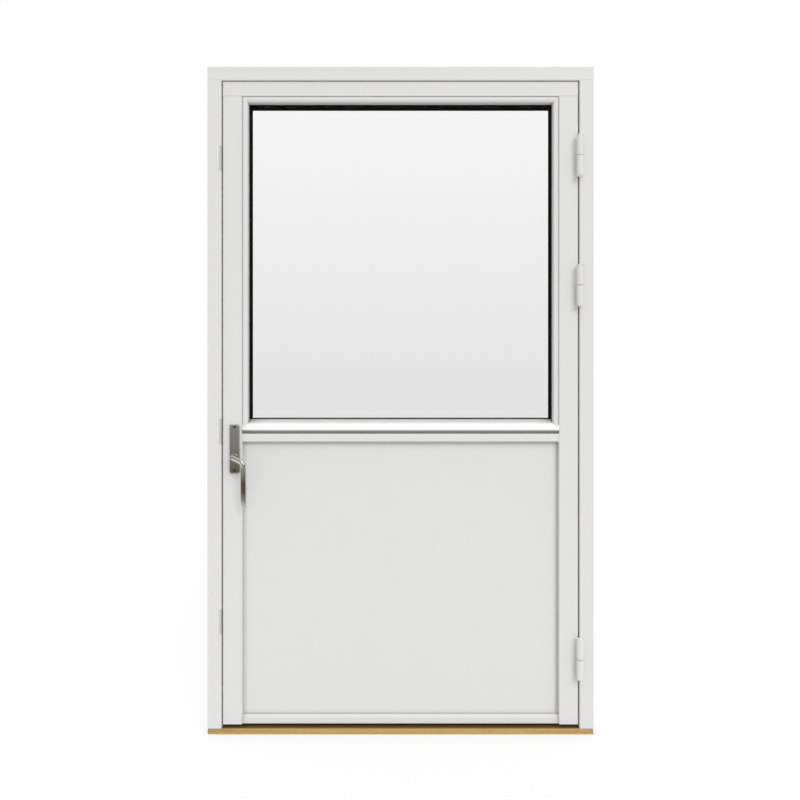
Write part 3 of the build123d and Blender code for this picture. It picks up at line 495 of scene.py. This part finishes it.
@dataclass(frozen=True)
class Extruded(Finish):
    """Rubber or plastic pressed through a die: matt, with faint lines along its length.

    Args:
        colour: The body colour.
        bloom: Colour of the dusty bloom on it.
        run: The way the lines run.
        line_mm: Width and length of the die lines.
        line_depth_mm: Their depth.
        line_relief: How strongly they tell in the surface.
        line_detail: Levels of finer lines in them.
        roughness: Smoothest and dullest it gets.
        specular: Strength of its gloss.
    """

    colour: str = "#0B0B0B"
    bloom: str = "#151515"
    run: Run = Run.ALONG_Z
    line_mm: tuple[float, float] = (1.2, 300.0)
    line_depth_mm: float = 0.05
    line_relief: float = 0.3
    line_detail: float = 2.0
    roughness: tuple[float, float] = (0.5, 0.65)
    specular: float = 0.3

    def surface(self, tree: bpy.types.NodeTree) -> bpy.types.Node:
        """Returns a matt body with die lines."""
        place = add_node(tree, "ShaderNodeTexCoord").outputs["Object"]
        at = add_node(
            tree,
            "ShaderNodeMapping",
            {"Vector": place, "Scale": per_metre(*self.run.sizes(*self.line_mm))},
        )
        lines = add_node(
            tree, "ShaderNodeTexNoise", {"Vector": at, "Scale": 1.0, "Detail": self.line_detail}
        )
        colour = add_node(
            tree,
            "ShaderNodeMix",
            {0: lines, COLOUR_A: linear(self.colour), COLOUR_B: linear(self.bloom)},
            data_type="RGBA",
        )
        dull = add_node(
            tree,
            "ShaderNodeMapRange",
            {"Value": lines, "To Min": self.roughness[0], "To Max": self.roughness[1]},
        )
        ribs = add_node(
            tree,
            "ShaderNodeBump",
            {
                "Height": lines,
                "Strength": self.line_relief,
                "Distance": self.line_depth_mm * MM,
            },
        )
        return add_node(
            tree,
            "ShaderNodeBsdfPrincipled",
            {
                "Base Color": colour.outputs[MIXED_COLOUR],
                "Roughness": dull,
                "Normal": ribs,
                "Specular IOR Level": self.specular,
            },
        )


@dataclass(frozen=True)
class WorkedMetal(Finish):
    """Bare or plated metal that was brushed, drawn, rolled or turned: fine lines that spread its gloss.

    Args:
        colour: Its reflection where the lines are fine.
        dark: Its reflection where they are deep.
        run: The way the lines run.
        line_mm: Width and length of the lines, drawn coarser than real ones so that they show.
        line_depth_mm: Their depth.
        line_relief: How strongly they tell in the surface.
        roughness: Smoothest and dullest it gets.
        patch_mm: Size of the cloudy patches of plating or handling.
        patch: Strength of the patches in its colour.
        detail: Levels of finer lines and patches.
        painted_reflection: Its colour in a band of painted reflection, darker and browner than the
            metal.
        painted_reflection_at_mm: Height of the middle of that stretch.
        painted_reflection_reach_mm: Distances above and below it between which the painted reflection
            fades out, or zeros for none.
    """

    colour: str = "#BFC1C2"
    dark: str = "#A2A5A6"
    run: Run = Run.ALONG_Z
    line_mm: tuple[float, float] = (0.5, 60.0)
    line_depth_mm: float = 0.01
    line_relief: float = 0.4
    roughness: tuple[float, float] = (0.28, 0.42)
    patch_mm: float = 12.0
    patch: float = 0.35
    detail: float = 3.0
    painted_reflection: str = "#A2A5A6"
    painted_reflection_at_mm: float = 0.0
    painted_reflection_reach_mm: tuple[float, float] = (0.0, 0.0)

    def surface(self, tree: bpy.types.NodeTree) -> bpy.types.Node:
        """Returns metal with lines and soft patches."""
        place = add_node(tree, "ShaderNodeTexCoord").outputs["Object"]
        lines_at = add_node(
            tree,
            "ShaderNodeMapping",
            {"Vector": place, "Scale": per_metre(*self.run.sizes(*self.line_mm))},
        )
        patches_at = add_node(
            tree, "ShaderNodeMapping", {"Vector": place, "Scale": per_metre(self.patch_mm)}
        )
        lines = add_node(
            tree, "ShaderNodeTexNoise", {"Vector": lines_at, "Scale": 1.0, "Detail": self.detail}
        )
        patches = add_node(
            tree, "ShaderNodeTexNoise", {"Vector": patches_at, "Scale": 1.0, "Detail": self.detail}
        )
        share = add_node(
            tree,
            "ShaderNodeMix",
            {0: self.patch, NUMBER_A: lines, NUMBER_B: patches},
            data_type="FLOAT",
        )
        colour = add_node(
            tree,
            "ShaderNodeMix",
            {0: share, COLOUR_A: linear(self.colour), COLOUR_B: linear(self.dark)},
            data_type="RGBA",
        )
        # Painted reflection: a darker, browner band round one height
        if any(self.painted_reflection_reach_mm):
            near, far = self.painted_reflection_reach_mm
            height = add_node(tree, "ShaderNodeSeparateXYZ", {"Vector": place}).outputs["Z"]
            above = add_node(
                tree, "ShaderNodeMath", {0: height, 1: self.painted_reflection_at_mm * MM}, operation="SUBTRACT"
            )
            away = add_node(tree, "ShaderNodeMath", {0: above}, operation="ABSOLUTE")
            outside_reflection = add_node(
                tree,
                "ShaderNodeMapRange",
                {"Value": away, "From Min": near * MM, "From Max": far * MM},
            )
            colour = add_node(
                tree,
                "ShaderNodeMix",
                {0: outside_reflection, COLOUR_A: linear(self.painted_reflection), COLOUR_B: colour.outputs[MIXED_COLOUR]},
                data_type="RGBA",
            )
        spread = add_node(
            tree,
            "ShaderNodeMapRange",
            {"Value": share, "To Min": self.roughness[0], "To Max": self.roughness[1]},
        )
        scratches = add_node(
            tree,
            "ShaderNodeBump",
            {
                "Height": lines,
                "Strength": self.line_relief,
                "Distance": self.line_depth_mm * MM,
            },
        )
        return add_node(
            tree,
            "ShaderNodeBsdfPrincipled",
            {
                "Base Color": colour.outputs[MIXED_COLOUR],
                "Metallic": 1.0,
                "Roughness": spread,
                "Normal": scratches,
            },
        )


@dataclass(frozen=True)
class PressedBoard(Finish):
    """Raw fibre board: a felt of pale brown fibres, quite matt.

    Args:
        fibre_mm: Size of the bundles of fibres.
        fibre_depth_mm: How deep the felt is.
        fibre_relief: How strongly it tells in the surface.
        fibre_detail: Levels of finer fibres in them.
        pale: Colour of the light fibres.
        brown: Colour of the dark ones.
        roughness: How dull it is.
    """

    fibre_mm: float = 3.0
    fibre_depth_mm: float = 0.2
    fibre_relief: float = 0.5
    fibre_detail: float = 6.0
    pale: str = "#B99A6C"
    brown: str = "#94744A"
    roughness: float = 0.85

    def surface(self, tree: bpy.types.NodeTree) -> bpy.types.Node:
        """Returns felted fibres."""
        place = add_node(tree, "ShaderNodeTexCoord").outputs["Object"]
        at = add_node(tree, "ShaderNodeMapping", {"Vector": place, "Scale": per_metre(self.fibre_mm)})
        fibres = add_node(
            tree, "ShaderNodeTexNoise", {"Vector": at, "Scale": 1.0, "Detail": self.fibre_detail}
        )
        colour = add_node(
            tree,
            "ShaderNodeMix",
            {0: fibres, COLOUR_A: linear(self.pale), COLOUR_B: linear(self.brown)},
            data_type="RGBA",
        )
        felt = add_node(
            tree,
            "ShaderNodeBump",
            {
                "Height": fibres,
                "Strength": self.fibre_relief,
                "Distance": self.fibre_depth_mm * MM,
            },
        )
        return add_node(
            tree,
            "ShaderNodeBsdfPrincipled",
            {
                "Base Color": colour.outputs[MIXED_COLOUR],
                "Roughness": self.roughness,
                "Normal": felt,
            },
        )


# Sprayed satin paint on planed pine: the grain only just tells, along each piece's length
PAINTED_UPRIGHT = SprayedPaint("satin_paint_on_pine_upright", run=Run.ALONG_Z)
PAINTED_ACROSS = SprayedPaint("satin_paint_on_pine_across", run=Run.ALONG_X)
# The same paint on smooth board has no grain, and spray ripples alone break its sheen; its inner
# corners get painted shade
PAINTED_BOARD = SprayedPaint(
    "satin_paint_on_board_with_painted_corner_shade", grain_mm=(60.0, 90.0), grain_depth_mm=0.05, corner_shade_mm=18.0
)
# The set-back bottom rail ends in inner corners, and beads have narrow ones beside timber and glass;
# paint there is darkened as painted shade
PAINTED_INSET = SprayedPaint("satin_paint_on_inset_pine_with_painted_corner_shade", run=Run.ALONG_X, corner_shade_mm=18.0)
PAINTED_BEAD_UPRIGHT = SprayedPaint("satin_paint_on_bead_upright_with_painted_corner_shade", run=Run.ALONG_Z, corner_shade_mm=8.0)
PAINTED_BEAD_ACROSS = SprayedPaint("satin_paint_on_bead_across_with_painted_corner_shade", run=Run.ALONG_X, corner_shade_mm=8.0)
# The sill bead is painted whiter than the other timber as a painted highlight, and darkened far out
# from the glass as painted shade
PAINTED_LIGHT_SILL = SprayedPaint(
    "paint_on_sill_bead_with_painted_highlight_and_shade",
    run=Run.ALONG_X,
    light="#F9F9F7",
    shade="#F6F6F4",
    corner="#70706E",
    corner_shade_mm=56.0,
)
# Baked powder coat flows into a slight orange peel, a little glossier than the paint
POWDER_COAT = SprayedPaint(
    "white_powder_coat_on_steel",
    grain_mm=(2.0, 2.0),
    grain_depth_mm=0.03,
    peel_mm=1.2,
    light="#E6E6E4",
    shade="#E2E2E0",
    roughness=(0.28, 0.36),
)
# Strikes have the same coat in light grey, rubbed a little duller by the bolts
GREY_COAT = SprayedPaint(
    "grey_powder_coat_on_steel",
    grain_mm=(6.0, 14.0),
    grain_depth_mm=0.03,
    peel_mm=1.2,
    light="#CECECA",
    shade="#C3C3BE",
    roughness=(0.4, 0.52),
)
# Oil warms the planed oak, and its open pores show as short dark dashes; behind the nose it darkens as
# painted shade from the leaf
OAK = OiledOak("oiled_oak")
# A thin coat against glare leaves the float glass a faint mirror image
GLASS = FloatGlass("coated_float_glass")
# Rubber from a die is a soft black with faint lines along it
RUBBER = Extruded("extruded_black_rubber", run=Run.ALONG_Z, specular=0.15)
# Spacers are the mattest black, and draw a plain dark line round the glass
SPACER = Extruded(
    "extruded_black_spacer", colour="#030303", bloom="#050505", roughness=(0.85, 0.95), specular=0.02
)
# Poured sealant levels out in long soft swells
SEALANT = Extruded("poured_black_sealant", colour="#0A0A0A", bloom="#121212", line_mm=(8.0, 40.0))
# Moulded setting blocks are a slightly dusty blue
BLOCK_PLASTIC = Extruded("moulded_blue_plastic", colour="#3F6F9E", bloom="#386590", run=Run.ALONG_X)
# Anodising leaves aluminium pale and satin, with the die's lines along it
ANODISED = WorkedMetal(
    "anodised_aluminium", colour="#C9CBCD", dark="#B4B6B9", run=Run.ALONG_X, line_mm=(0.6, 180.0)
)
# Zinc on rolled steel is a cool grey, clouded in small patches
ZINC = WorkedMetal("zinc_plated_rolled_steel", patch=0.7, patch_mm=6.0)
# Zinc on turned screws keeps their turning marks, drawn coarser than real ones so that they show
SCREW_ZINC = WorkedMetal("zinc_plated_turned_screws", line_mm=(0.4, 0.4), patch_mm=3.0)
# Drawn steel is a plain grey with long fine lines
DRAWN_STEEL = WorkedMetal("drawn_steel", colour="#B5B6B6", dark="#9B9C9C")
# Turned washers are a darker grey than the pins, with fine turning marks
WASHER_STEEL = WorkedMetal(
    "turned_steel_washers", colour="#9C9C9A", dark="#858583", line_mm=(0.5, 0.5)
)
# Brushed nickel, darker and browner as painted reflection towards the foot of the plate and along the
# grip
NICKEL = WorkedMetal(
    "satin_brushed_nickel",
    colour="#DEDCD6",
    dark="#C2BFB7",
    line_mm=(0.6, 30.0),
    roughness=(0.2, 0.3),
    patch_mm=25.0,
    painted_reflection="#776E58",
    painted_reflection_at_mm=790.0,
    painted_reflection_reach_mm=(5.0, 150.0),
)
LEVER_NICKEL = WorkedMetal(
    "satin_brushed_nickel_lever_with_painted_reflection",
    colour="#D2CFC7",
    dark="#BBB8AE",
    line_mm=(0.6, 30.0),
    roughness=(0.2, 0.3),
    patch_mm=25.0,
    painted_reflection="#665E4B",
    painted_reflection_at_mm=759.0,
    painted_reflection_reach_mm=(14.0, 72.0),
)
# Nickel on the plate's screws is darker than the plate
NICKEL_SCREW = WorkedMetal(
    "nickel_plated_turned_screws", colour="#8E897C", dark="#757062", line_mm=(0.4, 0.4), patch_mm=3.0
)
# Raw board shows its matt felt of fibres
CORE_BOARD = PressedBoard("pressed_fibre_board")


def dress(node: str, finish: Finish) -> None:
    """Gives a CAD node its finish.

    Args:
        node: The node's name.
        finish: What its surface is.
    """
    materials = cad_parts[node].data.materials
    materials.clear()
    materials.append(finish.material())
    LOG.info("dressed %s in %s", node, finish.name)


def islands(node: str) -> list[tuple[Vector, Vector]]:
    """Finds the separate solids in a CAD node.

    Args:
        node: The node's name.

    Returns:
        The lowest and highest corner of each solid.
    """
    mesh = bmesh.new()
    mesh.from_mesh(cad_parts[node].data)
    bmesh.ops.remove_doubles(mesh, verts=mesh.verts, dist=MERGE_DISTANCE)
    unseen = set(mesh.verts)
    boxes = []
    while unseen:
        stack = [unseen.pop()]
        low = stack[0].co.copy()
        high = stack[0].co.copy()
        while stack:
            vertex = stack.pop()
            low = Vector(map(min, low, vertex.co))
            high = Vector(map(max, high, vertex.co))
            near = {edge.other_vert(vertex) for edge in vertex.link_edges} & unseen
            unseen -= near
            stack.extend(near)
        boxes.append((low, high))
    mesh.free()
    return boxes


class Facing(Enum):
    """The way that a screw's head faces, as the axis and its sign, or 0 for away from the middle."""

    ROOM = (1, -1)
    RIGHT = (0, 1)
    LEFT = (0, -1)
    UP_AND_DOWN = (2, 0)


@dataclass
class ScrewGroup:
    """Countersunk wood screws with cross recesses, in place of a node's plain ones.

    Args:
        node: The CAD node that they stand for.
        body: The body that they ride on.
        facing: The way that their heads face.
        finish: What their surface is.
        shank_share: Radius of the shank, as a share of the head's.
        tip_share: Radius of the tip, as a share of the shank's.
        wing_share: Radius of the recess's wings, as a share of the head's.
        core_share: Radius of the recess between its wings, as a share of the head's.
        core_turns: Angles in each quarter turn between which the recess is drawn in to its core.
        recess_share: Depth of the recess, as a share of the head's radius.
        recess_floor_share: Size of the recess's floor, as a share of its mouth's.
        thread_pitch: Spacing of the thread's ridges.
        thread_depth: Depth of the thread, cut into the shank.
        segments: Corners round the head.
    """

    node: str
    body: str
    facing: Facing
    finish: Finish = SCREW_ZINC
    shank_share: float = 0.524
    tip_share: float = 0.1
    wing_share: float = 0.62
    core_share: float = 0.26
    core_turns: tuple[float, float] = (15.0, 75.0)
    recess_share: float = 0.42
    recess_floor_share: float = 0.6
    thread_pitch: float = 2.4 * MM
    thread_depth: float = 0.5 * MM
    segments: int = 32

    def one_screw(self, head_radius: float, length: float) -> bmesh.types.BMesh:
        """Models one screw with its head's face on the XY plane and its tip down.

        Args:
            head_radius: Radius of the head.
            length: Length over all.

        Returns:
            The screw's mesh.
        """
        shank = head_radius * self.shank_share
        mesh = bmesh.new()
        bmesh.ops.create_circle(mesh, cap_ends=True, segments=self.segments, radius=head_radius)
        top = next(iter(mesh.faces))
        rim = list(top.edges)
        bmesh.ops.inset_region(mesh, faces=[top], thickness=head_radius * (1 - self.wing_share))
        for vertex in top.verts:
            turn = math.degrees(math.atan2(vertex.co.y, vertex.co.x)) % QUARTER_TURN
            if self.core_turns[0] < turn < self.core_turns[1]:
                vertex.co *= self.core_share / self.wing_share
        deep = bmesh.ops.extrude_face_region(mesh, geom=[top])
        floor = [item for item in deep["geom"] if isinstance(item, bmesh.types.BMVert)]
        bmesh.ops.delete(mesh, geom=[top], context="FACES_ONLY")
        bmesh.ops.translate(mesh, verts=floor, vec=(0, 0, -head_radius * self.recess_share))
        narrowing = (self.recess_floor_share, self.recess_floor_share, 1)
        bmesh.ops.scale(mesh, verts=floor, vec=narrowing)
        ring = rim
        for radius, depth in self.shank_steps(head_radius, shank, length):
            grown = bmesh.ops.extrude_edge_only(mesh, edges=ring)["geom"]
            points = [item for item in grown if isinstance(item, bmesh.types.BMVert)]
            ring = [item for item in grown if isinstance(item, bmesh.types.BMEdge)]
            ring = [edge for edge in ring if all(point in points for point in edge.verts)]
            now = points[0].co.xy.length
            bmesh.ops.scale(mesh, verts=points, vec=(radius / now, radius / now, 1))
            bmesh.ops.translate(mesh, verts=points, vec=(0, 0, -depth - points[0].co.z))
        bmesh.ops.contextual_create(mesh, geom=ring)
        bmesh.ops.recalc_face_normals(mesh, faces=mesh.faces)
        return mesh

    def shank_steps(
        self, head_radius: float, shank: float, length: float
    ) -> list[tuple[float, float]]:
        """Works out the rings below the head's rim.

        Args:
            head_radius: Radius of the head.
            shank: Radius of the shank.
            length: Length over all.

        Returns:
            Radius and depth of each ring, down to the tip.
        """
        neck = head_radius - shank
        steps = [(shank, neck)]
        depth = neck + self.thread_pitch
        while depth < length - 2 * self.thread_pitch:
            steps.append((shank - self.thread_depth, depth))
            steps.append((shank, depth + self.thread_pitch / 2))
            depth += self.thread_pitch
        steps.append((shank * self.tip_share, length))
        return steps

    def build(self) -> bpy.types.Object:
        """Models the group, dresses it and hangs it on its body.

        Returns:
            The group's object.
        """
        group = bmesh.new()
        for low, high in islands(self.node):
            axis, sign = self.facing.value
            middle = (low + high) / 2
            sign = sign or (1 if middle.z > CAD_BOX[1].z / 2 else -1)
            others = [place for place in range(3) if place != axis]
            normal = Vector((0, 0, 0))
            normal[axis] = sign
            head = middle.copy()
            head[axis] = high[axis] if sign > 0 else low[axis]
            head_radius = (high[others[0]] - low[others[0]]) / 2
            screw = self.one_screw(head_radius, high[axis] - low[axis])
            turn = normal.to_track_quat("Z", "Y").to_matrix().to_4x4()
            screw.transform(Matrix.Translation(head) @ turn)
            single = bpy.data.meshes.new("one_screw")
            screw.to_mesh(single)
            screw.free()
            group.from_mesh(single)
            bpy.data.meshes.remove(single)
        mesh = bpy.data.meshes.new(self.node + "_cross_recessed")
        group.to_mesh(mesh)
        group.free()
        piece = bpy.data.objects.new(self.node + "_cross_recessed", mesh)
        bpy.context.scene.collection.objects.link(piece)
        mesh.materials.append(self.finish.material())
        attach(piece, self.body)
        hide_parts(self.node)
        LOG.info("built %s on %s", piece.name, self.body)
        return piece


@dataclass
class OuterFrame:
    """The fixed frame: painted head and jambs, oak threshold with its rail, seal and strikes.

    Args:
        uprights: Nodes with their grain upright.
        across: Nodes with their grain across.
        strikes: Strike plates on the left jamb.
    """

    uprights: tuple[str, ...] = ("frame_jamb_left", "frame_jamb_right")
    across: tuple[str, ...] = ("frame_head",)
    strikes: tuple[str, ...] = ("strike_top", "strike_middle", "strike_bottom")

    def build(self) -> None:
        """Dresses the frame and models its screws."""
        for node in self.uprights:
            dress(node, PAINTED_UPRIGHT)
        for node in self.across:
            dress(node, PAINTED_ACROSS)
        for node in self.strikes:
            dress(node, GREY_COAT)
        dress("threshold", OAK)
        dress("threshold_rail", ANODISED)
        dress("frame_seal", RUBBER)
        ScrewGroup("frame_screws", "frame", Facing.UP_AND_DOWN).build()
        ScrewGroup("strike_screws", "frame", Facing.RIGHT).build()


@dataclass
class DoorLeaf:
    """The swinging leaf: painted stiles, rails and beads, the lower panel and the drip bar.

    Args:
        uprights: Nodes with their grain upright.
        across: Nodes with their grain across.
        side_beads: Glazing beads with their grain upright.
        skins: The panel's painted skins.
    """

    uprights: tuple[str, ...] = ("leaf_stile_left", "leaf_stile_right")
    across: tuple[str, ...] = ("leaf_top_rail", "leaf_mid_rail")
    side_beads: tuple[str, ...] = ("bead_left", "bead_right")
    skins: tuple[str, ...] = ("panel_skin_inner", "panel_skin_outer")

    def build(self) -> None:
        """Dresses the leaf."""
        for node in self.uprights:
            dress(node, PAINTED_UPRIGHT)
        for node in self.across:
            dress(node, PAINTED_ACROSS)
        dress("leaf_bottom_rail", PAINTED_INSET)
        for node in self.side_beads:
            dress(node, PAINTED_BEAD_UPRIGHT)
        dress("bead_top", PAINTED_BEAD_ACROSS)
        for node in self.skins:
            dress(node, PAINTED_BOARD)
        dress("bead_sill", PAINTED_LIGHT_SILL)
        dress("panel_core", CORE_BOARD)
        dress("drip_bar", ANODISED)


@dataclass
class GlazingUnit:
    """The sealed triple glazing in the leaf, with its gaskets and setting blocks.

    Args:
        panes: The three panes.
        spacers: The black spacers between them.
        gaskets: The rubber between glass and timber.
    """

    panes: tuple[str, ...] = ("pane_inner", "pane_middle", "pane_outer")
    spacers: tuple[str, ...] = ("spacer_inner", "spacer_outer")
    gaskets: tuple[str, ...] = ("gasket_inner", "gasket_outer")

    def build(self) -> None:
        """Dresses the glazing."""
        for node in self.panes:
            dress(node, GLASS)
        for node in self.spacers:
            dress(node, SPACER)
        for node in self.gaskets:
            dress(node, RUBBER)
        dress("edge_seal", SEALANT)
        dress("setting_blocks", BLOCK_PLASTIC)


@dataclass
class HingeSet:
    """The three lift-off hinges.

    Args:
        places: Where they are, as the ends of their nodes' names.
    """

    places: tuple[str, ...] = ("top", "middle", "bottom")

    def build(self) -> None:
        """Dresses the hinges and models their screws."""
        for place in self.places:
            dress(f"hinge_frame_{place}", POWDER_COAT)
            dress(f"hinge_leaf_{place}", POWDER_COAT)
            dress(f"hinge_pin_{place}", DRAWN_STEEL)
        dress("hinge_caps_upper", POWDER_COAT)
        dress("hinge_caps_lower", POWDER_COAT)
        dress("hinge_washers", WASHER_STEEL)
        ScrewGroup("hinge_frame_screws", "frame", Facing.LEFT).build()
        ScrewGroup("hinge_leaf_screws", "leaf", Facing.RIGHT).build()


@dataclass
class Espagnolette:
    """The edge lock in the left stile: faceplate, case, rod, bolts and pinion.

    Args:
        places: Where the bolts are, as the ends of their nodes' names.
    """

    places: tuple[str, ...] = ("top", "middle", "bottom")

    def build(self) -> None:
        """Dresses the lock and models the faceplate's screws."""
        for place in self.places:
            dress(f"lock_bolt_{place}", DRAWN_STEEL)
        for node in ("lock_faceplate", "lock_case", "lock_rod", "lock_pinion"):
            dress(node, ZINC)
        ScrewGroup("faceplate_screws", "leaf", Facing.LEFT).build()


@dataclass
class LeverHandle:
    """The lever handle on the room side, with its plate and spindle."""

    def build(self) -> None:
        """Dresses the handle and models its plate's screws."""
        dress("handle_plate", NICKEL)
        dress("handle_lever", LEVER_NICKEL)
        dress("handle_spindle", DRAWN_STEEL)
        ScrewGroup("handle_screws", "leaf", Facing.ROOM, NICKEL_SCREW).build()


@dataclass
class Studio:
    """A plain studio: pale floor, white backdrop, soft light from the upper right and a level camera.

    Args:
        eye: The camera's place, in metres.
        lens: Its focal length on the sensor's width, in millimetres.
        sensor: The sensor's width, in millimetres.
        key_from: Direction towards the key light.
        key_strength: Strength of the key light.
        key_spread: How wide the key light is, in degrees.
        ambient: Strength of the soft light from the horizon and from overhead.
        floor_side: Side of the square floor, in metres.
        floor_colour: The floor's colour, which it throws back at the door.
        floor_shadow: The part of it that shows shadows where the floor is seen.
        floor_lift: What the white backdrop adds to the floor where it is seen.
        haze_lift: What it adds where the floor is seen through glass, to match the haze above it.
        low_sky: What gloss mirrors near the horizon.
        high_sky: What gloss mirrors overhead.
        sky_heights: Sines of the heights between which the mirrored sky brightens.
        haze: What glass shows at the horizon, before the white above.
        haze_height: Sine of the height at which that ends.
    """

    eye: tuple[float, float, float] = (-1.53 * MM, -2357.5 * MM, 1021.5 * MM)
    lens: float = 33.88
    sensor: float = 36.0
    key_from: tuple[float, float, float] = (0.36, -0.8, 0.48)
    key_strength: float = 0.85
    key_spread: float = 26.0
    ambient: tuple[float, float] = (0.43, 1.33)
    floor_side: float = 16.0
    floor_colour: str = "#DCDCDC"
    floor_shadow: str = "#808080"
    floor_lift: float = 0.76
    haze_lift: float = 0.51
    low_sky: str = "#6A6A68"
    high_sky: str = WHITE
    sky_heights: tuple[float, float] = (0.36, 0.66)
    haze: str = "#EBEBEB"
    haze_height: float = 0.36

    def build(self) -> None:
        """Sets up camera, lights, floor and world."""
        self.add_camera()
        self.add_key()
        self.add_floor()
        self.add_world()
        bpy.context.scene.view_settings.view_transform = "Standard"

    def add_camera(self) -> None:
        """Adds the level camera in front of the door."""
        data = bpy.data.cameras.new("camera")
        data.lens = self.lens
        data.sensor_width = self.sensor
        camera = bpy.data.objects.new("camera", data)
        camera.location = self.eye
        camera.rotation_euler = (math.pi / 2, 0, 0)
        bpy.context.scene.collection.objects.link(camera)
        bpy.context.scene.camera = camera

    def add_key(self) -> None:
        """Adds the soft key light."""
        data = bpy.data.lights.new("key", "SUN")
        data.energy = self.key_strength
        data.angle = math.radians(self.key_spread)
        key = bpy.data.objects.new("key", data)
        key.rotation_euler = Vector(self.key_from).to_track_quat("Z", "Y").to_euler()
        bpy.context.scene.collection.objects.link(key)

    def add_floor(self) -> None:
        """Adds the pale floor, which keeps shadows and blends into the backdrop."""
        mesh = bmesh.new()
        bmesh.ops.create_grid(mesh, x_segments=1, y_segments=1, size=self.floor_side / 2)
        data = bpy.data.meshes.new("floor")
        mesh.to_mesh(data)
        mesh.free()
        floor = bpy.data.objects.new("floor", data)
        bpy.context.scene.collection.objects.link(floor)
        material = bpy.data.materials.new("plain_pale_floor")
        material.use_nodes = True
        tree = material.node_tree
        tree.nodes.clear()
        body = add_node(tree, "ShaderNodeBsdfDiffuse", {"Color": linear(self.floor_colour)})
        through = add_node(tree, "ShaderNodeLightPath").outputs["Is Transmission Ray"]
        strength = add_node(
            tree,
            "ShaderNodeMapRange",
            {"Value": through, "To Min": self.floor_lift, "To Max": self.haze_lift},
        )
        lift = add_node(tree, "ShaderNodeEmission", {"Strength": strength})
        shadow = add_node(tree, "ShaderNodeBsdfDiffuse", {"Color": linear(self.floor_shadow)})
        both = add_node(tree, "ShaderNodeAddShader", {0: shadow, 1: lift})
        seen = self.seen_rays(tree)
        mix = add_node(tree, "ShaderNodeMixShader", {0: seen, 1: body, 2: both})
        add_node(tree, "ShaderNodeOutputMaterial", {"Surface": mix})
        data.materials.append(material)

    def seen_rays(self, tree: bpy.types.NodeTree) -> bpy.types.Node:
        """Returns 1 for rays that show the backdrop: straight, mirrored or through glass."""
        path = add_node(tree, "ShaderNodeLightPath")
        mirrored = add_node(
            tree,
            "ShaderNodeMath",
            {0: path.outputs["Is Camera Ray"], 1: path.outputs["Is Glossy Ray"]},
            operation="MAXIMUM",
        )
        return add_node(
            tree,
            "ShaderNodeMath",
            {0: mirrored, 1: path.outputs["Is Transmission Ray"]},
            operation="MAXIMUM",
        )

    def add_world(self) -> None:
        """Adds the world: soft light from above, white where seen, hazy in glass, darker in gloss."""
        world = bpy.data.worlds.new("studio")
        bpy.context.scene.world = world
        world.use_nodes = True
        tree = world.node_tree
        tree.nodes.clear()
        way = add_node(tree, "ShaderNodeTexCoord").outputs["Generated"]
        height = add_node(tree, "ShaderNodeSeparateXYZ", {"Vector": way}).outputs["Z"]
        glow = add_node(
            tree,
            "ShaderNodeMapRange",
            {"Value": height, "To Min": self.ambient[0], "To Max": self.ambient[1]},
        )
        soft = add_node(tree, "ShaderNodeBackground", {"Color": linear(WHITE), "Strength": glow})
        clearing = add_node(
            tree,
            "ShaderNodeMapRange",
            {"Value": height, "From Min": 0.0, "From Max": self.haze_height},
        )
        through = add_node(
            tree,
            "ShaderNodeMix",
            {0: clearing, COLOUR_A: linear(self.haze), COLOUR_B: linear(WHITE)},
            data_type="RGBA",
        )
        rise = add_node(
            tree,
            "ShaderNodeMapRange",
            {"Value": height, "From Min": self.sky_heights[0], "From Max": self.sky_heights[1]},
        )
        sky = add_node(
            tree,
            "ShaderNodeMix",
            {0: rise, COLOUR_A: linear(self.low_sky), COLOUR_B: linear(self.high_sky)},
            data_type="RGBA",
        )
        path = add_node(tree, "ShaderNodeLightPath")
        past = add_node(
            tree,
            "ShaderNodeMix",
            {
                0: path.outputs["Glossy Depth"],
                COLOUR_A: through.outputs[MIXED_COLOUR],
                COLOUR_B: sky.outputs[MIXED_COLOUR],
            },
            data_type="RGBA",
        )
        shown = add_node(
            tree,
            "ShaderNodeMix",
            {
                0: path.outputs["Is Camera Ray"],
                COLOUR_A: past.outputs[MIXED_COLOUR],
                COLOUR_B: linear(WHITE),
            },
            data_type="RGBA",
        )
        backdrop = add_node(
            tree, "ShaderNodeBackground", {"Color": shown.outputs[MIXED_COLOUR], "Strength": 1.0}
        )
        seen = self.seen_rays(tree)
        mix = add_node(tree, "ShaderNodeMixShader", {0: seen, 1: soft, 2: backdrop})
        add_node(tree, "ShaderNodeOutputWorld", {"Surface": mix})


def main() -> None:
    """Builds the door's looks and the studio round it."""
    logging.basicConfig(level=logging.INFO, format="%(name)s: %(message)s")
    assemblies = (
        OuterFrame(),
        DoorLeaf(),
        GlazingUnit(),
        HingeSet(),
        Espagnolette(),
        LeverHandle(),
    )
    for assembly in assemblies:
        assembly.build()
        LOG.info("finished %s", type(assembly).__name__)
    Studio().build()


if __name__ == "__main__":
    main()
